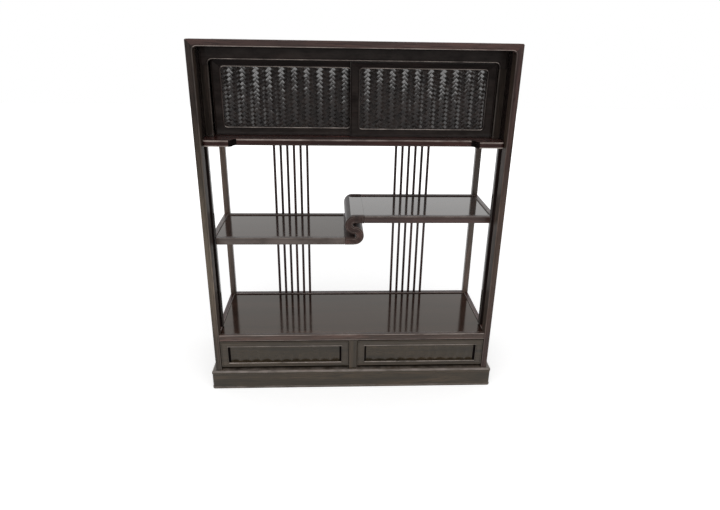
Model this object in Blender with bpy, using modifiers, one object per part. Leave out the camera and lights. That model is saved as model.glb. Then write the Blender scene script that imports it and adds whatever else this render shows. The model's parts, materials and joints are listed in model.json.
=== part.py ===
"""Tea cabinet with staggered shelves, sliding woven doors and two drawers.

Metres, +Z up, front towards -Y, origin on the floor under the middle of the cabinet.
Depths named SETBACK are measured backwards from the front face of the portal frame.
"""
import math

import bmesh
import bpy
from mathutils import Vector

# Overall plan
WIDTH = 0.900                 # across the outer faces of the posts
DEPTH = 0.330                 # portal face to the back of the rear posts
FIT = 0.0003                  # gap left between two pieces that touch
EDGE = 0.0015                 # rounding of an ordinary wooden edge

# Heights, stacked from the floor up
PLINTH_HEIGHT = 0.066
DRAWER_BAY_HEIGHT = 0.107
DECK_RAIL_HEIGHT = 0.022
MIDDLE_BAY_HEIGHT = 0.606
CASE_FLOOR_THICK = 0.018
DOOR_OPENING_HEIGHT = 0.213
HEADER_HEIGHT = 0.035
TOP_BOARD_THICK = 0.013

# Plinth
PLINTH_SIDE_PROUD = 0.015
PLINTH_FRONT_PROUD = 0.008
PLINTH_BOARD = 0.022
PLINTH_CORNER = 0.008
PLINTH_TOP_BEAD = 0.010
PLINTH_FOOT_BEAD = 0.007
PLINTH_FACE_INSET = 0.002
BASE_BOARD_THICK = 0.012

# Portal frame round the whole front
PORTAL_FACE_WIDTH = 0.018
PORTAL_DEPTH = 0.036
PORTAL_CORNER = 0.011
PORTAL_RISE = 0.005           # top of the portal above the top board

# Carcass posts, square in section
FRONT_POST = 0.018
REAR_POST = 0.020
FRONT_POST_SETBACK = 0.062
CARCASS_RECESS = 0.0035       # posts and side rails, in from the outer face of the portal

# Deck over the drawers
DECK_FRONT_SETBACK = 0.003
DECK_RIM = 0.015
DECK_SINK = 0.004
DECK_PANEL_THICK = 0.010

# Staggered shelves and the S-shaped board that joins them
LOWER_SHELF_RISE = 0.290
SHELF_THICK = 0.023
SHELF_STEP = 0.071
SHELF_SETBACK = 0.003
SHELF_RIM = 0.015
SHELF_LAP = 0.007             # how far the back rail goes in between the rear posts
SHELF_NECK = 0.006
SHELF_SINK = 0.004
SHELF_PANEL_THICK = 0.010
S_CENTRE_X = 0.003
S_RETURN = 0.030

# Slats at the back of the middle bay
SLATS_PER_GROUP = 6
SLAT = 0.0085
SLAT_PITCH = 0.0224
SLAT_GROUP_X = 0.208
SLAT_RECESS = 0.0025

# Upper case
CASE_FRONT_SETBACK = 0.075
CASE_STILE_WIDTH = 0.022
CASE_STILE_THICK = 0.010
CASE_CORNER = 0.012
SIDE_PANEL_THICK = 0.012
BACK_THICK = 0.008
BACK_RECESS = 0.004
FLOOR_FRONT_SETBACK = 0.040
EAR_FRONT_SETBACK = 0.015
EAR_LENGTH = 0.073
EAR_STEP_LENGTH = 0.019
EAR_CORNER = 0.012

# Sliding doors
DOOR_THICK = 0.014
DOOR_STILE = 0.028
DOOR_TOP_RAIL = 0.020
DOOR_BOTTOM_RAIL = 0.0235
DOOR_CORNER = 0.008
DOOR_OVERLAP = 0.028
DOOR_PLAY = 0.0007            # door edge to opening, above, below and beside
TRACK_GAP = 0.002             # between the two doors
TONGUE_THICK = 0.007
GROOVE_PLAY = 0.0005
SILL_GROOVE_DEPTH = 0.005
HEAD_GROOVE_DEPTH = 0.009
HEADER_BACK_LIP = 0.006
DOOR_PANEL_THICK = 0.005
DOOR_PANEL_SINK = 0.005
DOOR_REBATE = 0.006

# Drawers
DRAWER_STILE_WIDTH = 0.026
DRAWER_STILE_THICK = 0.018
PARTITION_THICK = 0.018
DRAWER_GAP = 0.0015
DRAWER_CORNER = 0.009
FINGER_GAP = 0.012
DRAWER_FRONT_THICK = 0.018
DRAWER_FRAME_SIDE = 0.024
DRAWER_FRAME_TOP = 0.020
DRAWER_FRAME_BOTTOM = 0.014
DRAWER_RECESS = 0.006
DRAWER_WALL = 0.010
DRAWER_WALL_HEIGHT = 0.084
DRAWER_BACK_GAP = 0.0267      # drawer box to the panel behind it
DRAWER_BOTTOM_THICK = 0.006
DRAWER_BOTTOM_RISE = 0.018
RUNNING_GAP = 0.0005

# Levels worked out from the stack
DRAWER_BAY_TOP = PLINTH_HEIGHT + DRAWER_BAY_HEIGHT
DECK_TOP = DRAWER_BAY_TOP + DECK_RAIL_HEIGHT
CASE_FLOOR_BOTTOM = DECK_TOP + MIDDLE_BAY_HEIGHT
CASE_FLOOR_TOP = CASE_FLOOR_BOTTOM + CASE_FLOOR_THICK
HEADER_BOTTOM = CASE_FLOOR_TOP + DOOR_OPENING_HEIGHT
TOP_BOTTOM = HEADER_BOTTOM + HEADER_HEIGHT
TOP = TOP_BOTTOM + TOP_BOARD_THICK
PORTAL_TOP = TOP + PORTAL_RISE
LOWER_SHELF_TOP = DECK_TOP + LOWER_SHELF_RISE + SHELF_THICK
UPPER_SHELF_TOP = LOWER_SHELF_TOP + SHELF_STEP

# Places across the width and through the depth
OUTER_X = WIDTH / 2
PORTAL_INNER_X = OUTER_X - PORTAL_FACE_WIDTH
CARCASS_X = OUTER_X - CARCASS_RECESS
FRONT_POST_INNER_X = CARCASS_X - FRONT_POST
REAR_POST_INNER_X = CARCASS_X - REAR_POST
OPENING_X = PORTAL_INNER_X - CASE_STILE_WIDTH
PORTAL_FACE = -(DEPTH - PLINTH_FRONT_PROUD) / 2


def setback(distance):
    """Y of a plane that lies this far behind the portal face."""
    return PORTAL_FACE + distance


PORTAL_BACK = setback(PORTAL_DEPTH)
FRONT_POST_FACE = setback(FRONT_POST_SETBACK)
FRONT_POST_BACK = FRONT_POST_FACE + FRONT_POST
BACK = setback(DEPTH)
REAR_POST_FACE = BACK - REAR_POST
BACK_PANEL_BACK = BACK - BACK_RECESS
BACK_PANEL_FRONT = BACK_PANEL_BACK - BACK_THICK
SHELF_FRONT = FRONT_POST_FACE + SHELF_SETBACK
SHELF_BACK = REAR_POST_FACE + SHELF_LAP
CASE_FRONT = setback(CASE_FRONT_SETBACK)
FRONT_TRACK = CASE_FRONT + CASE_STILE_THICK + DOOR_PLAY
REAR_TRACK = FRONT_TRACK + DOOR_THICK + TRACK_GAP
HEADER_BACK = REAR_TRACK + DOOR_THICK + HEADER_BACK_LIP

BEVEL_ANGLE = math.radians(60)
ARC_STEPS = 6
WELD = 0.00001


def clear_scene():
    for item in list(bpy.data.objects):
        bpy.data.objects.remove(item, do_unlink=True)


def make_material(name, colour, roughness):
    material = bpy.data.materials.new(name)
    material.use_nodes = True
    shader = material.node_tree.nodes["Principled BSDF"]
    shader.inputs["Base Color"].default_value = (*colour, 1.0)
    shader.inputs["Roughness"].default_value = roughness
    shader.inputs["Metallic"].default_value = 0.0
    return material


def make_collection(name):
    collection = bpy.data.collections.new(name)
    bpy.context.scene.collection.children.link(collection)
    return collection


clear_scene()
PIECES = make_collection("tea_cabinet")
CUTTERS = make_collection("cutters")
ROSEWOOD = make_material("rosewood", (0.075, 0.045, 0.040), 0.28)
LACQUERED = make_material("lacquered_panel", (0.050, 0.032, 0.030), 0.10)
WOVEN = make_material("woven_panel", (0.045, 0.034, 0.032), 0.35)
PAULOWNIA = make_material("paulownia", (0.520, 0.400, 0.260), 0.60)


def add_bevel(piece, width):
    """Rounds the sharp outward edges and leaves the inward corners as they are."""
    shape = bmesh.new()
    shape.from_mesh(piece.data)
    weight = shape.edges.layers.float.new("bevel_weight_edge")
    for edge in shape.edges:
        edge[weight] = 1.0 if edge.calc_face_angle_signed(0.0) > BEVEL_ANGLE else 0.0
    shape.to_mesh(piece.data)
    shape.free()
    bevel = piece.modifiers.new("rounded edges", "BEVEL")
    bevel.width = width
    bevel.segments = 2
    bevel.limit_method = "WEIGHT"


def finish_piece(piece, material, edge, carrier):
    """Gives a piece its material and rounding, and hangs it on its moving carrier."""
    piece.data.materials.append(material)
    if edge:
        add_bevel(piece, edge)
    if carrier:
        piece.parent = carrier
        piece.location = piece.location - carrier.location
    return piece


def box_object(name, x, y, z, collection):
    """A box between the lowest and highest values given for each axis."""
    mesh = bpy.data.meshes.new(name)
    shape = bmesh.new()
    bmesh.ops.create_cube(shape, size=1.0)
    size = Vector((x[1] - x[0], y[1] - y[0], z[1] - z[0]))
    bmesh.ops.scale(shape, vec=size, verts=shape.verts)
    shape.to_mesh(mesh)
    shape.free()
    item = bpy.data.objects.new(name, mesh)
    item.location = ((x[0] + x[1]) / 2, (y[0] + y[1]) / 2, (z[0] + z[1]) / 2)
    collection.objects.link(item)
    return item


def box(name, x, y, z, material=ROSEWOOD, edge=EDGE, carrier=None):
    piece = box_object(name, sorted(x), sorted(y), sorted(z), PIECES)
    return finish_piece(piece, material, edge, carrier)


def cutter_box(name, x, y, z):
    cutter = box_object(name, sorted(x), sorted(y), sorted(z), CUTTERS)
    cutter.hide_render = True
    cutter.display_type = "WIRE"
    return cutter


def outline_object(name, rings, span, upright):
    """Extrudes closed outlines over span: along Z, or along Y where they stand upright."""
    curve = bpy.data.curves.new(name, "CURVE")
    curve.dimensions = "2D"
    curve.fill_mode = "BOTH"
    curve.extrude = (span[1] - span[0]) / 2
    for ring in rings:
        spline = curve.splines.new("POLY")
        spline.points.add(len(ring) - 1)
        spline.use_cyclic_u = True
        for point, place in zip(spline.points, ring):
            point.co = (place[0], place[1], 0.0, 1.0)
    guide = bpy.data.objects.new(name + "_outline", curve)
    middle = (span[0] + span[1]) / 2
    if upright:
        guide.location = (0.0, middle, 0.0)
        guide.rotation_euler = (math.pi / 2, 0.0, 0.0)
    else:
        guide.location = (0.0, 0.0, middle)
    PIECES.objects.link(guide)
    bpy.context.view_layer.update()
    evaluated = guide.evaluated_get(bpy.context.evaluated_depsgraph_get())
    mesh = bpy.data.meshes.new_from_object(evaluated)
    mesh.name = name
    shape = bmesh.new()
    shape.from_mesh(mesh)
    bmesh.ops.remove_doubles(shape, verts=shape.verts, dist=WELD)
    bmesh.ops.recalc_face_normals(shape, faces=shape.faces)
    shape.to_mesh(mesh)
    shape.free()
    mesh.materials.clear()
    piece = bpy.data.objects.new(name, mesh)
    piece.matrix_world = guide.matrix_world
    bpy.data.objects.remove(guide, do_unlink=True)
    PIECES.objects.link(piece)
    return piece


def plan_board(name, outline, z, material=ROSEWOOD, edge=EDGE):
    return finish_piece(outline_object(name, [outline], z, False), material, edge, None)


def upright_board(name, rings, y, material=ROSEWOOD, edge=EDGE, carrier=None):
    return finish_piece(outline_object(name, rings, y, True), material, edge, carrier)


def arc(centre, radius, start, end, steps=ARC_STEPS):
    """Points on a circle from the start angle to the end angle, in degrees."""
    points = []
    for step in range(steps + 1):
        angle = math.radians(start + (end - start) * step / steps)
        points.append((centre[0] + radius * math.cos(angle), centre[1] + radius * math.sin(angle)))
    return points


def rounded_rectangle(x, z, radius):
    points = arc((x[1] - radius, z[0] + radius), radius, -90, 0)
    points += arc((x[1] - radius, z[1] - radius), radius, 0, 90)
    points += arc((x[0] + radius, z[1] - radius), radius, 90, 180)
    points += arc((x[0] + radius, z[0] + radius), radius, 180, 270)
    return points


def mirrored(points, side):
    """The outline of the right-hand piece, turned over for the left where side is -1."""
    return [(side * x, other) for x, other in points]


def combine(piece, operation, cutters):
    for cutter in cutters:
        boolean = piece.modifiers.new(cutter.name, "BOOLEAN")
        boolean.operation = operation
        boolean.solver = "EXACT"
        boolean.object = cutter


def make_carrier(name, place):
    """An empty on a slide's line, which carries the pieces that move together."""
    carrier = bpy.data.objects.new(name, None)
    carrier.location = place
    PIECES.objects.link(carrier)
    return carrier


# Plinth

PLINTH_X = OUTER_X + PLINTH_SIDE_PROUD
PLINTH_FRONT = PORTAL_FACE - PLINTH_FRONT_PROUD
PLINTH_PROFILE = (
    (0.0, PLINTH_FACE_INSET / 2),
    (PLINTH_FOOT_BEAD * 0.3, 0.0),
    (PLINTH_FOOT_BEAD * 0.7, 0.0),
    (PLINTH_FOOT_BEAD, PLINTH_FACE_INSET),
    (PLINTH_HEIGHT - PLINTH_TOP_BEAD, PLINTH_FACE_INSET),
    (PLINTH_HEIGHT - PLINTH_TOP_BEAD * 0.7, 0.0),
    (PLINTH_HEIGHT - PLINTH_TOP_BEAD * 0.2, 0.0),
    (PLINTH_HEIGHT, PLINTH_FACE_INSET),
)


def plinth_corner(inset, start, end):
    """Half of the rounded front corner, at this inset from the widest outline."""
    centre = (PLINTH_X - PLINTH_CORNER, PLINTH_FRONT + PLINTH_CORNER)
    return arc(centre, PLINTH_CORNER - inset, start, end, ARC_STEPS // 2)


def plinth_front_outline(inset):
    right = [(PLINTH_X - PLINTH_BOARD, PLINTH_FRONT + PLINTH_BOARD)]
    right += plinth_corner(inset, -45, -90)
    return right + [(-x, y) for x, y in reversed(right)]


def plinth_side_outline(inset):
    inner_x = PLINTH_X - PLINTH_BOARD
    points = [(inner_x, BACK), (inner_x, PLINTH_FRONT + PLINTH_BOARD)]
    points += plinth_corner(inset, -45, 0)
    points.append((PLINTH_X - inset, BACK))
    mitre_gap = FIT * math.sqrt(2)
    return [(x, y if y == BACK else y + mitre_gap) for x, y in points]


def moulded_board(name, outline_at, side=1):
    """A board lofted up the plinth's moulded profile."""
    mesh = bpy.data.meshes.new(name)
    shape = bmesh.new()
    rings = []
    for height, inset in PLINTH_PROFILE:
        ring = [shape.verts.new((side * x, y, height)) for x, y in outline_at(inset)]
        rings.append(ring)
    for lower, upper in zip(rings, rings[1:]):
        for index in range(len(lower)):
            following = (index + 1) % len(lower)
            shape.faces.new((lower[index], lower[following], upper[following], upper[index]))
    shape.faces.new(rings[0])
    shape.faces.new(rings[-1])
    bmesh.ops.recalc_face_normals(shape, faces=shape.faces)
    shape.to_mesh(mesh)
    shape.free()
    piece = bpy.data.objects.new(name, mesh)
    PIECES.objects.link(piece)
    return finish_piece(piece, ROSEWOOD, 0.0, None)


def build_plinth():
    inner_x = PLINTH_X - PLINTH_BOARD - FIT
    inner_back = BACK - PLINTH_BOARD
    moulded_board("plinth_front", plinth_front_outline)
    moulded_board("plinth_right", plinth_side_outline)
    moulded_board("plinth_left", plinth_side_outline, -1)
    box("plinth_back", (-inner_x, inner_x), (inner_back, BACK), (0.0, PLINTH_HEIGHT))
    base_y = (PLINTH_FRONT + PLINTH_BOARD + FIT, inner_back - FIT)
    base_z = (PLINTH_HEIGHT - BASE_BOARD_THICK, PLINTH_HEIGHT)
    box("base_board", (-inner_x, inner_x), base_y, base_z)


# Portal frame

def portal_inner_corner(start, end):
    centre = (PORTAL_INNER_X - PORTAL_CORNER, PORTAL_TOP - PORTAL_FACE_WIDTH - PORTAL_CORNER)
    return arc(centre, PORTAL_CORNER, start, end, ARC_STEPS // 2)


def build_portal():
    foot = PLINTH_HEIGHT + FIT
    mitre_gap = FIT * math.sqrt(2)
    post = [(OUTER_X, foot), (OUTER_X, PORTAL_TOP - mitre_gap)]
    post += [(x, z - mitre_gap) for x, z in portal_inner_corner(45, 0)]
    post.append((PORTAL_INNER_X, foot))
    upright_board("portal_right_post", [post], (PORTAL_FACE, PORTAL_BACK))
    upright_board("portal_left_post", [mirrored(post, -1)], (PORTAL_FACE, PORTAL_BACK))
    half_rail = [(OUTER_X, PORTAL_TOP)] + portal_inner_corner(45, 90)
    rail = half_rail + [(-x, z) for x, z in reversed(half_rail)]
    upright_board("portal_top_rail", [rail], (PORTAL_FACE, PORTAL_BACK))


# Carcass posts and top

def build_posts():
    front_z = (DECK_TOP + FIT, CASE_FLOOR_BOTTOM - FIT)
    rear_z = (PLINTH_HEIGHT + FIT, TOP_BOTTOM - FIT)
    for side_name, side in (("left", -1), ("right", 1)):
        front_x = (side * FRONT_POST_INNER_X, side * CARCASS_X)
        box(f"front_{side_name}_post", front_x, (FRONT_POST_FACE, FRONT_POST_BACK), front_z)
        rear_x = (side * REAR_POST_INNER_X, side * CARCASS_X)
        box(f"rear_{side_name}_post", rear_x, (REAR_POST_FACE, BACK), rear_z)
    box("top_board", (-OUTER_X, OUTER_X), (PORTAL_BACK + FIT, BACK), (TOP_BOTTOM, TOP))


# Upper case

def groove_cutters(prefix, z):
    """One cutter for each door's tongue, a little longer than the opening."""
    cutters = []
    for track_name, track in (("front", FRONT_TRACK), ("rear", REAR_TRACK)):
        middle = track + DOOR_THICK / 2
        half = TONGUE_THICK / 2 + GROOVE_PLAY
        x = (-OPENING_X - DOOR_PLAY, OPENING_X + DOOR_PLAY)
        cutters.append(cutter_box(f"{prefix}_{track_name}_groove", x, (middle - half, middle + half), z))
    return cutters


def case_floor_outline():
    """Right half of the floor board: a set-back middle, an ogee and a rounded ear."""
    middle_y = setback(FLOOR_FRONT_SETBACK)
    ear_y = setback(EAR_FRONT_SETBACK)
    ear_end = PORTAL_INNER_X - FIT
    step_outer = PORTAL_INNER_X - EAR_LENGTH
    step_inner = step_outer - EAR_STEP_LENGTH
    step_x = EAR_STEP_LENGTH / 2
    step_y = (middle_y - ear_y) / 2
    half = []
    for step in range(ARC_STEPS + 1):
        angle = math.pi / 2 * step / ARC_STEPS
        half.append((step_inner + step_x * math.sin(angle), middle_y - step_y * (1 - math.cos(angle))))
    for step in range(1, ARC_STEPS + 1):
        angle = math.pi / 2 * step / ARC_STEPS
        half.append((step_outer - step_x * math.cos(angle), ear_y + step_y * (1 - math.sin(angle))))
    half += arc((ear_end - EAR_CORNER, ear_y + EAR_CORNER), EAR_CORNER, -90, 0)
    half += [(ear_end, PORTAL_BACK + FIT), (CARCASS_X, PORTAL_BACK + FIT)]
    half += [(CARCASS_X, REAR_POST_FACE - FIT), (REAR_POST_INNER_X - FIT, REAR_POST_FACE - FIT)]
    half.append((REAR_POST_INNER_X - FIT, BACK))
    return half


def build_case():
    half = case_floor_outline()
    outline = half + [(-x, y) for x, y in reversed(half)]
    floor = plan_board("case_floor", outline, (CASE_FLOOR_BOTTOM, CASE_FLOOR_TOP))
    sill_z = (CASE_FLOOR_TOP - SILL_GROOVE_DEPTH, CASE_FLOOR_TOP + SILL_GROOVE_DEPTH)
    combine(floor, "DIFFERENCE", groove_cutters("sill", sill_z))

    inner_x = PORTAL_INNER_X - FIT
    header_z = (HEADER_BOTTOM, TOP_BOTTOM - FIT)
    header = box("case_header", (-inner_x, inner_x), (CASE_FRONT, HEADER_BACK), header_z)
    head_z = (HEADER_BOTTOM - HEAD_GROOVE_DEPTH, HEADER_BOTTOM + HEAD_GROOVE_DEPTH)
    combine(header, "DIFFERENCE", groove_cutters("head", head_z))

    stile_top = HEADER_BOTTOM - FIT
    corner = arc((OPENING_X - CASE_CORNER, stile_top - CASE_CORNER), CASE_CORNER, 90, 0)
    foot = CASE_FLOOR_TOP + FIT
    stile = [(inner_x, foot), (inner_x, stile_top)] + corner + [(OPENING_X, foot)]
    stile_y = (CASE_FRONT, CASE_FRONT + CASE_STILE_THICK)
    panel_z = (foot, TOP_BOTTOM - FIT)
    panel_y = (PORTAL_BACK + FIT, REAR_POST_FACE - FIT)
    for side_name, side in (("left", -1), ("right", 1)):
        upright_board(f"case_{side_name}_stile", [mirrored(stile, side)], stile_y, edge=EDGE / 2)
        panel_x = (side * PORTAL_INNER_X, side * (PORTAL_INNER_X + SIDE_PANEL_THICK))
        box(f"case_{side_name}_side", panel_x, panel_y, panel_z)
    back_x = (-REAR_POST_INNER_X + FIT, REAR_POST_INNER_X - FIT)
    box("case_back", back_x, (BACK_PANEL_FRONT, BACK_PANEL_BACK), panel_z, edge=EDGE / 2)


# Sliding doors

def build_door(name, x, track):
    """A frame with tongues for the grooves, and a woven panel in a rebate at its back."""
    bottom = CASE_FLOOR_TOP + DOOR_PLAY
    top = HEADER_BOTTOM - DOOR_PLAY
    y = (track, track + DOOR_THICK)
    window_x = (x[0] + DOOR_STILE, x[1] - DOOR_STILE)
    window_z = (bottom + DOOR_BOTTOM_RAIL, top - DOOR_TOP_RAIL)
    carrier = make_carrier(f"{name}_slide", ((x[0] + x[1]) / 2, sum(y) / 2, bottom))
    outer = [(x[0], bottom), (x[1], bottom), (x[1], top), (x[0], top)]
    window = rounded_rectangle(window_x, window_z, DOOR_CORNER)
    frame = upright_board(f"{name}_frame", [outer, window], y, edge=EDGE / 2, carrier=carrier)

    middle = sum(y) / 2
    tongue_x = (x[0] + EDGE, x[1] - EDGE)
    tongue_y = (middle - TONGUE_THICK / 2, middle + TONGUE_THICK / 2)
    foot_z = (CASE_FLOOR_TOP - SILL_GROOVE_DEPTH + FIT, bottom + DOOR_BOTTOM_RAIL / 2)
    head_z = (top - DOOR_TOP_RAIL / 2, HEADER_BOTTOM + HEAD_GROOVE_DEPTH - DOOR_PLAY)
    tongues = [cutter_box(f"{name}_foot_tongue", tongue_x, tongue_y, foot_z)]
    tongues.append(cutter_box(f"{name}_head_tongue", tongue_x, tongue_y, head_z))
    combine(frame, "UNION", tongues)

    panel_x = (window_x[0] - DOOR_REBATE, window_x[1] + DOOR_REBATE)
    panel_z = (window_z[0] - DOOR_REBATE, window_z[1] + DOOR_REBATE)
    panel_front = track + DOOR_PANEL_SINK
    rebate_x = (panel_x[0] - FIT, panel_x[1] + FIT)
    rebate_z = (panel_z[0] - FIT, panel_z[1] + FIT)
    rebate_y = (panel_front - FIT, track + 2 * DOOR_THICK)
    combine(frame, "DIFFERENCE", [cutter_box(f"{name}_rebate", rebate_x, rebate_y, rebate_z)])
    panel_y = (panel_front, panel_front + DOOR_PANEL_THICK)
    box(f"{name}_panel", panel_x, panel_y, panel_z, WOVEN, 0.0, carrier)


def build_doors():
    width = OPENING_X - DOOR_PLAY + DOOR_OVERLAP / 2
    end = OPENING_X - DOOR_PLAY
    build_door("left_door", (-end, -end + width), REAR_TRACK)
    build_door("right_door", (end - width, end), FRONT_TRACK)


# Staggered shelves

def build_shelf(name, side, top):
    """A rim on three sides, fitted between the posts, with a sunk panel inside it."""
    joint_x = S_RETURN + side * S_CENTRE_X + FIT
    post_x = FRONT_POST_INNER_X - FIT
    post_y = FRONT_POST_BACK + FIT
    rear_x = REAR_POST_INNER_X - FIT
    rear_y = REAR_POST_FACE - FIT
    neck_x = post_x - SHELF_NECK
    neck_y = post_y + SHELF_NECK
    rim_front = SHELF_FRONT + SHELF_RIM
    rim_back = SHELF_BACK - SHELF_RIM
    rim = [(joint_x, SHELF_FRONT), (post_x, SHELF_FRONT), (post_x, post_y), (CARCASS_X, post_y)]
    rim += [(CARCASS_X, rear_y), (rear_x, rear_y), (rear_x, SHELF_BACK)]
    rim += [(joint_x, SHELF_BACK), (joint_x, rim_back)]
    rim += [(PORTAL_INNER_X, rim_back), (PORTAL_INNER_X, neck_y), (neck_x, neck_y)]
    rim += [(neck_x, rim_front), (joint_x, rim_front)]
    plan_board(f"{name}_frame", mirrored(rim, side), (top - SHELF_THICK, top))

    front = rim_front + FIT
    back = rim_back - FIT
    panel = [(joint_x, front), (neck_x - FIT, front), (neck_x - FIT, neck_y + FIT)]
    panel += [(PORTAL_INNER_X - FIT, neck_y + FIT), (PORTAL_INNER_X - FIT, back), (joint_x, back)]
    panel_top = top - SHELF_SINK
    panel_z = (panel_top - SHELF_PANEL_THICK, panel_top)
    plan_board(f"{name}_panel", mirrored(panel, side), panel_z, LACQUERED, 0.0)


def s_outline():
    """A ribbon that leaves the upper shelf, turns back twice and runs into the lower one."""
    half = SHELF_THICK / 2
    upper = UPPER_SHELF_TOP - half
    lower = LOWER_SHELF_TOP - half
    radius = (upper - lower) / 4
    upper_centre = (S_CENTRE_X, upper - radius)
    lower_centre = (S_CENTRE_X, lower + radius)
    right = S_CENTRE_X + S_RETURN
    left = S_CENTRE_X - S_RETURN
    steps = 2 * ARC_STEPS
    points = [(right, upper + half)]
    points += arc(upper_centre, radius + half, 90, 270, steps)
    points += arc(lower_centre, radius - half, 90, -90, steps)[1:]
    points += [(left, lower + half), (left, lower - half)]
    points += arc(lower_centre, radius + half, -90, 90, steps)
    points += arc(upper_centre, radius - half, 270, 90, steps)[1:]
    points.append((right, upper - half))
    return points


def build_shelves():
    build_shelf("lower_shelf", -1, LOWER_SHELF_TOP)
    build_shelf("upper_shelf", 1, UPPER_SHELF_TOP)
    upright_board("s_board", [s_outline()], (SHELF_FRONT, SHELF_BACK), edge=EDGE)


def build_slats():
    """Slats that stand on the deck's back rail and reach up to the case floor."""
    y = (BACK - SLAT_RECESS - SLAT, BACK - SLAT_RECESS)
    z = (DECK_TOP + FIT, CASE_FLOOR_BOTTOM - FIT)
    for side_name, side in (("left", -1), ("right", 1)):
        for index in range(SLATS_PER_GROUP):
            offset = (index - (SLATS_PER_GROUP - 1) / 2) * SLAT_PITCH
            middle = side * SLAT_GROUP_X + offset
            x = (middle - SLAT / 2, middle + SLAT / 2)
            box(f"{side_name}_slat_{index + 1}", x, y, z)


# Deck and drawer bay

def build_deck():
    z = (DRAWER_BAY_TOP, DECK_TOP)
    front = setback(DECK_FRONT_SETBACK)
    front_x = (-PORTAL_INNER_X + FIT, PORTAL_INNER_X - FIT)
    box("deck_front_rail", front_x, (front, front + DECK_RIM), z)
    back_x = (-REAR_POST_INNER_X + FIT, REAR_POST_INNER_X - FIT)
    box("deck_back_rail", back_x, (REAR_POST_FACE, BACK), z)
    side_y = (PORTAL_BACK + FIT, REAR_POST_FACE - FIT)
    bay_z = (PLINTH_HEIGHT + FIT, DRAWER_BAY_TOP - FIT)
    for side_name, side in (("left", -1), ("right", 1)):
        box(f"deck_{side_name}_rail", (side * PORTAL_INNER_X, side * CARCASS_X), side_y, z)
        panel_x = (side * PORTAL_INNER_X, side * (PORTAL_INNER_X + SIDE_PANEL_THICK))
        box(f"drawer_bay_{side_name}_side", panel_x, side_y, bay_z)
    panel_y = (front + DECK_RIM + FIT, REAR_POST_FACE - FIT)
    panel_z = (DECK_TOP - DECK_SINK - DECK_PANEL_THICK, DECK_TOP - DECK_SINK)
    box("deck_panel", front_x, panel_y, panel_z, LACQUERED, 0.0)
    box("drawer_bay_back", back_x, (BACK_PANEL_FRONT, BACK_PANEL_BACK), bay_z, edge=EDGE / 2)
    build_partition(front, bay_z, BACK_PANEL_FRONT - FIT)


def build_partition(front, z, back):
    """The middle stile, flared into its upper corners, with a wall behind it."""
    half = DRAWER_STILE_WIDTH / 2
    flare = arc((half + DRAWER_CORNER, z[1] - DRAWER_CORNER), DRAWER_CORNER, 180, 90)
    right = [(half, z[0])] + flare
    outline = right + [(-x, height) for x, height in reversed(right)]
    stile_back = front + DRAWER_STILE_THICK
    stile = upright_board("drawer_partition", [outline], (front, stile_back), edge=0.0)
    wall_x = (-PARTITION_THICK / 2, PARTITION_THICK / 2)
    wall_z = (z[0] + FIT, z[1] - FIT)
    wall = cutter_box("partition_wall", wall_x, (front + DRAWER_STILE_THICK / 2, back), wall_z)
    combine(stile, "UNION", [wall])


# Drawers

def build_drawer(name, side):
    """A framed front over a box of four thin boards, pulled from the gap underneath."""
    inner_x = DRAWER_STILE_WIDTH / 2 + DRAWER_GAP
    outer_x = PORTAL_INNER_X - DRAWER_GAP
    front = setback(DECK_FRONT_SETBACK)
    front_back = front + DRAWER_FRONT_THICK
    bottom = PLINTH_HEIGHT + FINGER_GAP
    top = DRAWER_BAY_TOP - DRAWER_GAP
    carrier = make_carrier(f"{name}_slide", (side * (inner_x + outer_x) / 2, front, bottom))
    radius = DRAWER_CORNER
    face = [(inner_x, bottom), (outer_x, bottom), (outer_x, top)]
    face += arc((inner_x + radius, top - radius), radius, 90, 180)
    piece = upright_board(f"{name}_front", [mirrored(face, side)], (front, front_back), carrier=carrier)
    recess_x = (side * (inner_x + DRAWER_FRAME_SIDE), side * (outer_x - DRAWER_FRAME_SIDE))
    recess_z = (bottom + DRAWER_FRAME_BOTTOM, top - DRAWER_FRAME_TOP)
    recess_y = (front - DRAWER_RECESS, front + DRAWER_RECESS)
    combine(piece, "DIFFERENCE", [cutter_box(f"{name}_recess", recess_x, recess_y, recess_z)])

    base = PLINTH_HEIGHT + RUNNING_GAP
    wall_z = (base, base + DRAWER_WALL_HEIGHT)
    box_front = front_back + FIT
    box_back = BACK_PANEL_FRONT - DRAWER_BACK_GAP
    left, right = sorted((side * inner_x, side * outer_x))
    wall_y = (box_front, box_back)
    box(f"{name}_left_side", (left, left + DRAWER_WALL), wall_y, wall_z, PAULOWNIA, EDGE / 2, carrier)
    box(f"{name}_right_side", (right - DRAWER_WALL, right), wall_y, wall_z, PAULOWNIA, EDGE / 2, carrier)
    inside_x = (left + DRAWER_WALL + FIT, right - DRAWER_WALL - FIT)
    back_y = (box_back - DRAWER_WALL, box_back)
    box(f"{name}_back", inside_x, back_y, wall_z, PAULOWNIA, EDGE / 2, carrier)
    floor_y = (box_front, back_y[0] - FIT)
    floor_z = (base + DRAWER_BOTTOM_RISE, base + DRAWER_BOTTOM_RISE + DRAWER_BOTTOM_THICK)
    box(f"{name}_bottom", inside_x, floor_y, floor_z, PAULOWNIA, 0.0, carrier)


def main():
    build_plinth()
    build_portal()
    build_posts()
    build_case()
    build_doors()
    build_shelves()
    build_slats()
    build_deck()
    build_drawer("left_drawer", -1)
    build_drawer("right_drawer", 1)


main()
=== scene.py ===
"""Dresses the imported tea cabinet: mouldings, woven doors, worked drawer fronts, finishes and a studio."""
import json
import math
import random

import bmesh
import bpy
from bpy.props import FloatProperty, FloatVectorProperty, IntProperty, PointerProperty
from mathutils import Matrix, Vector

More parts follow.
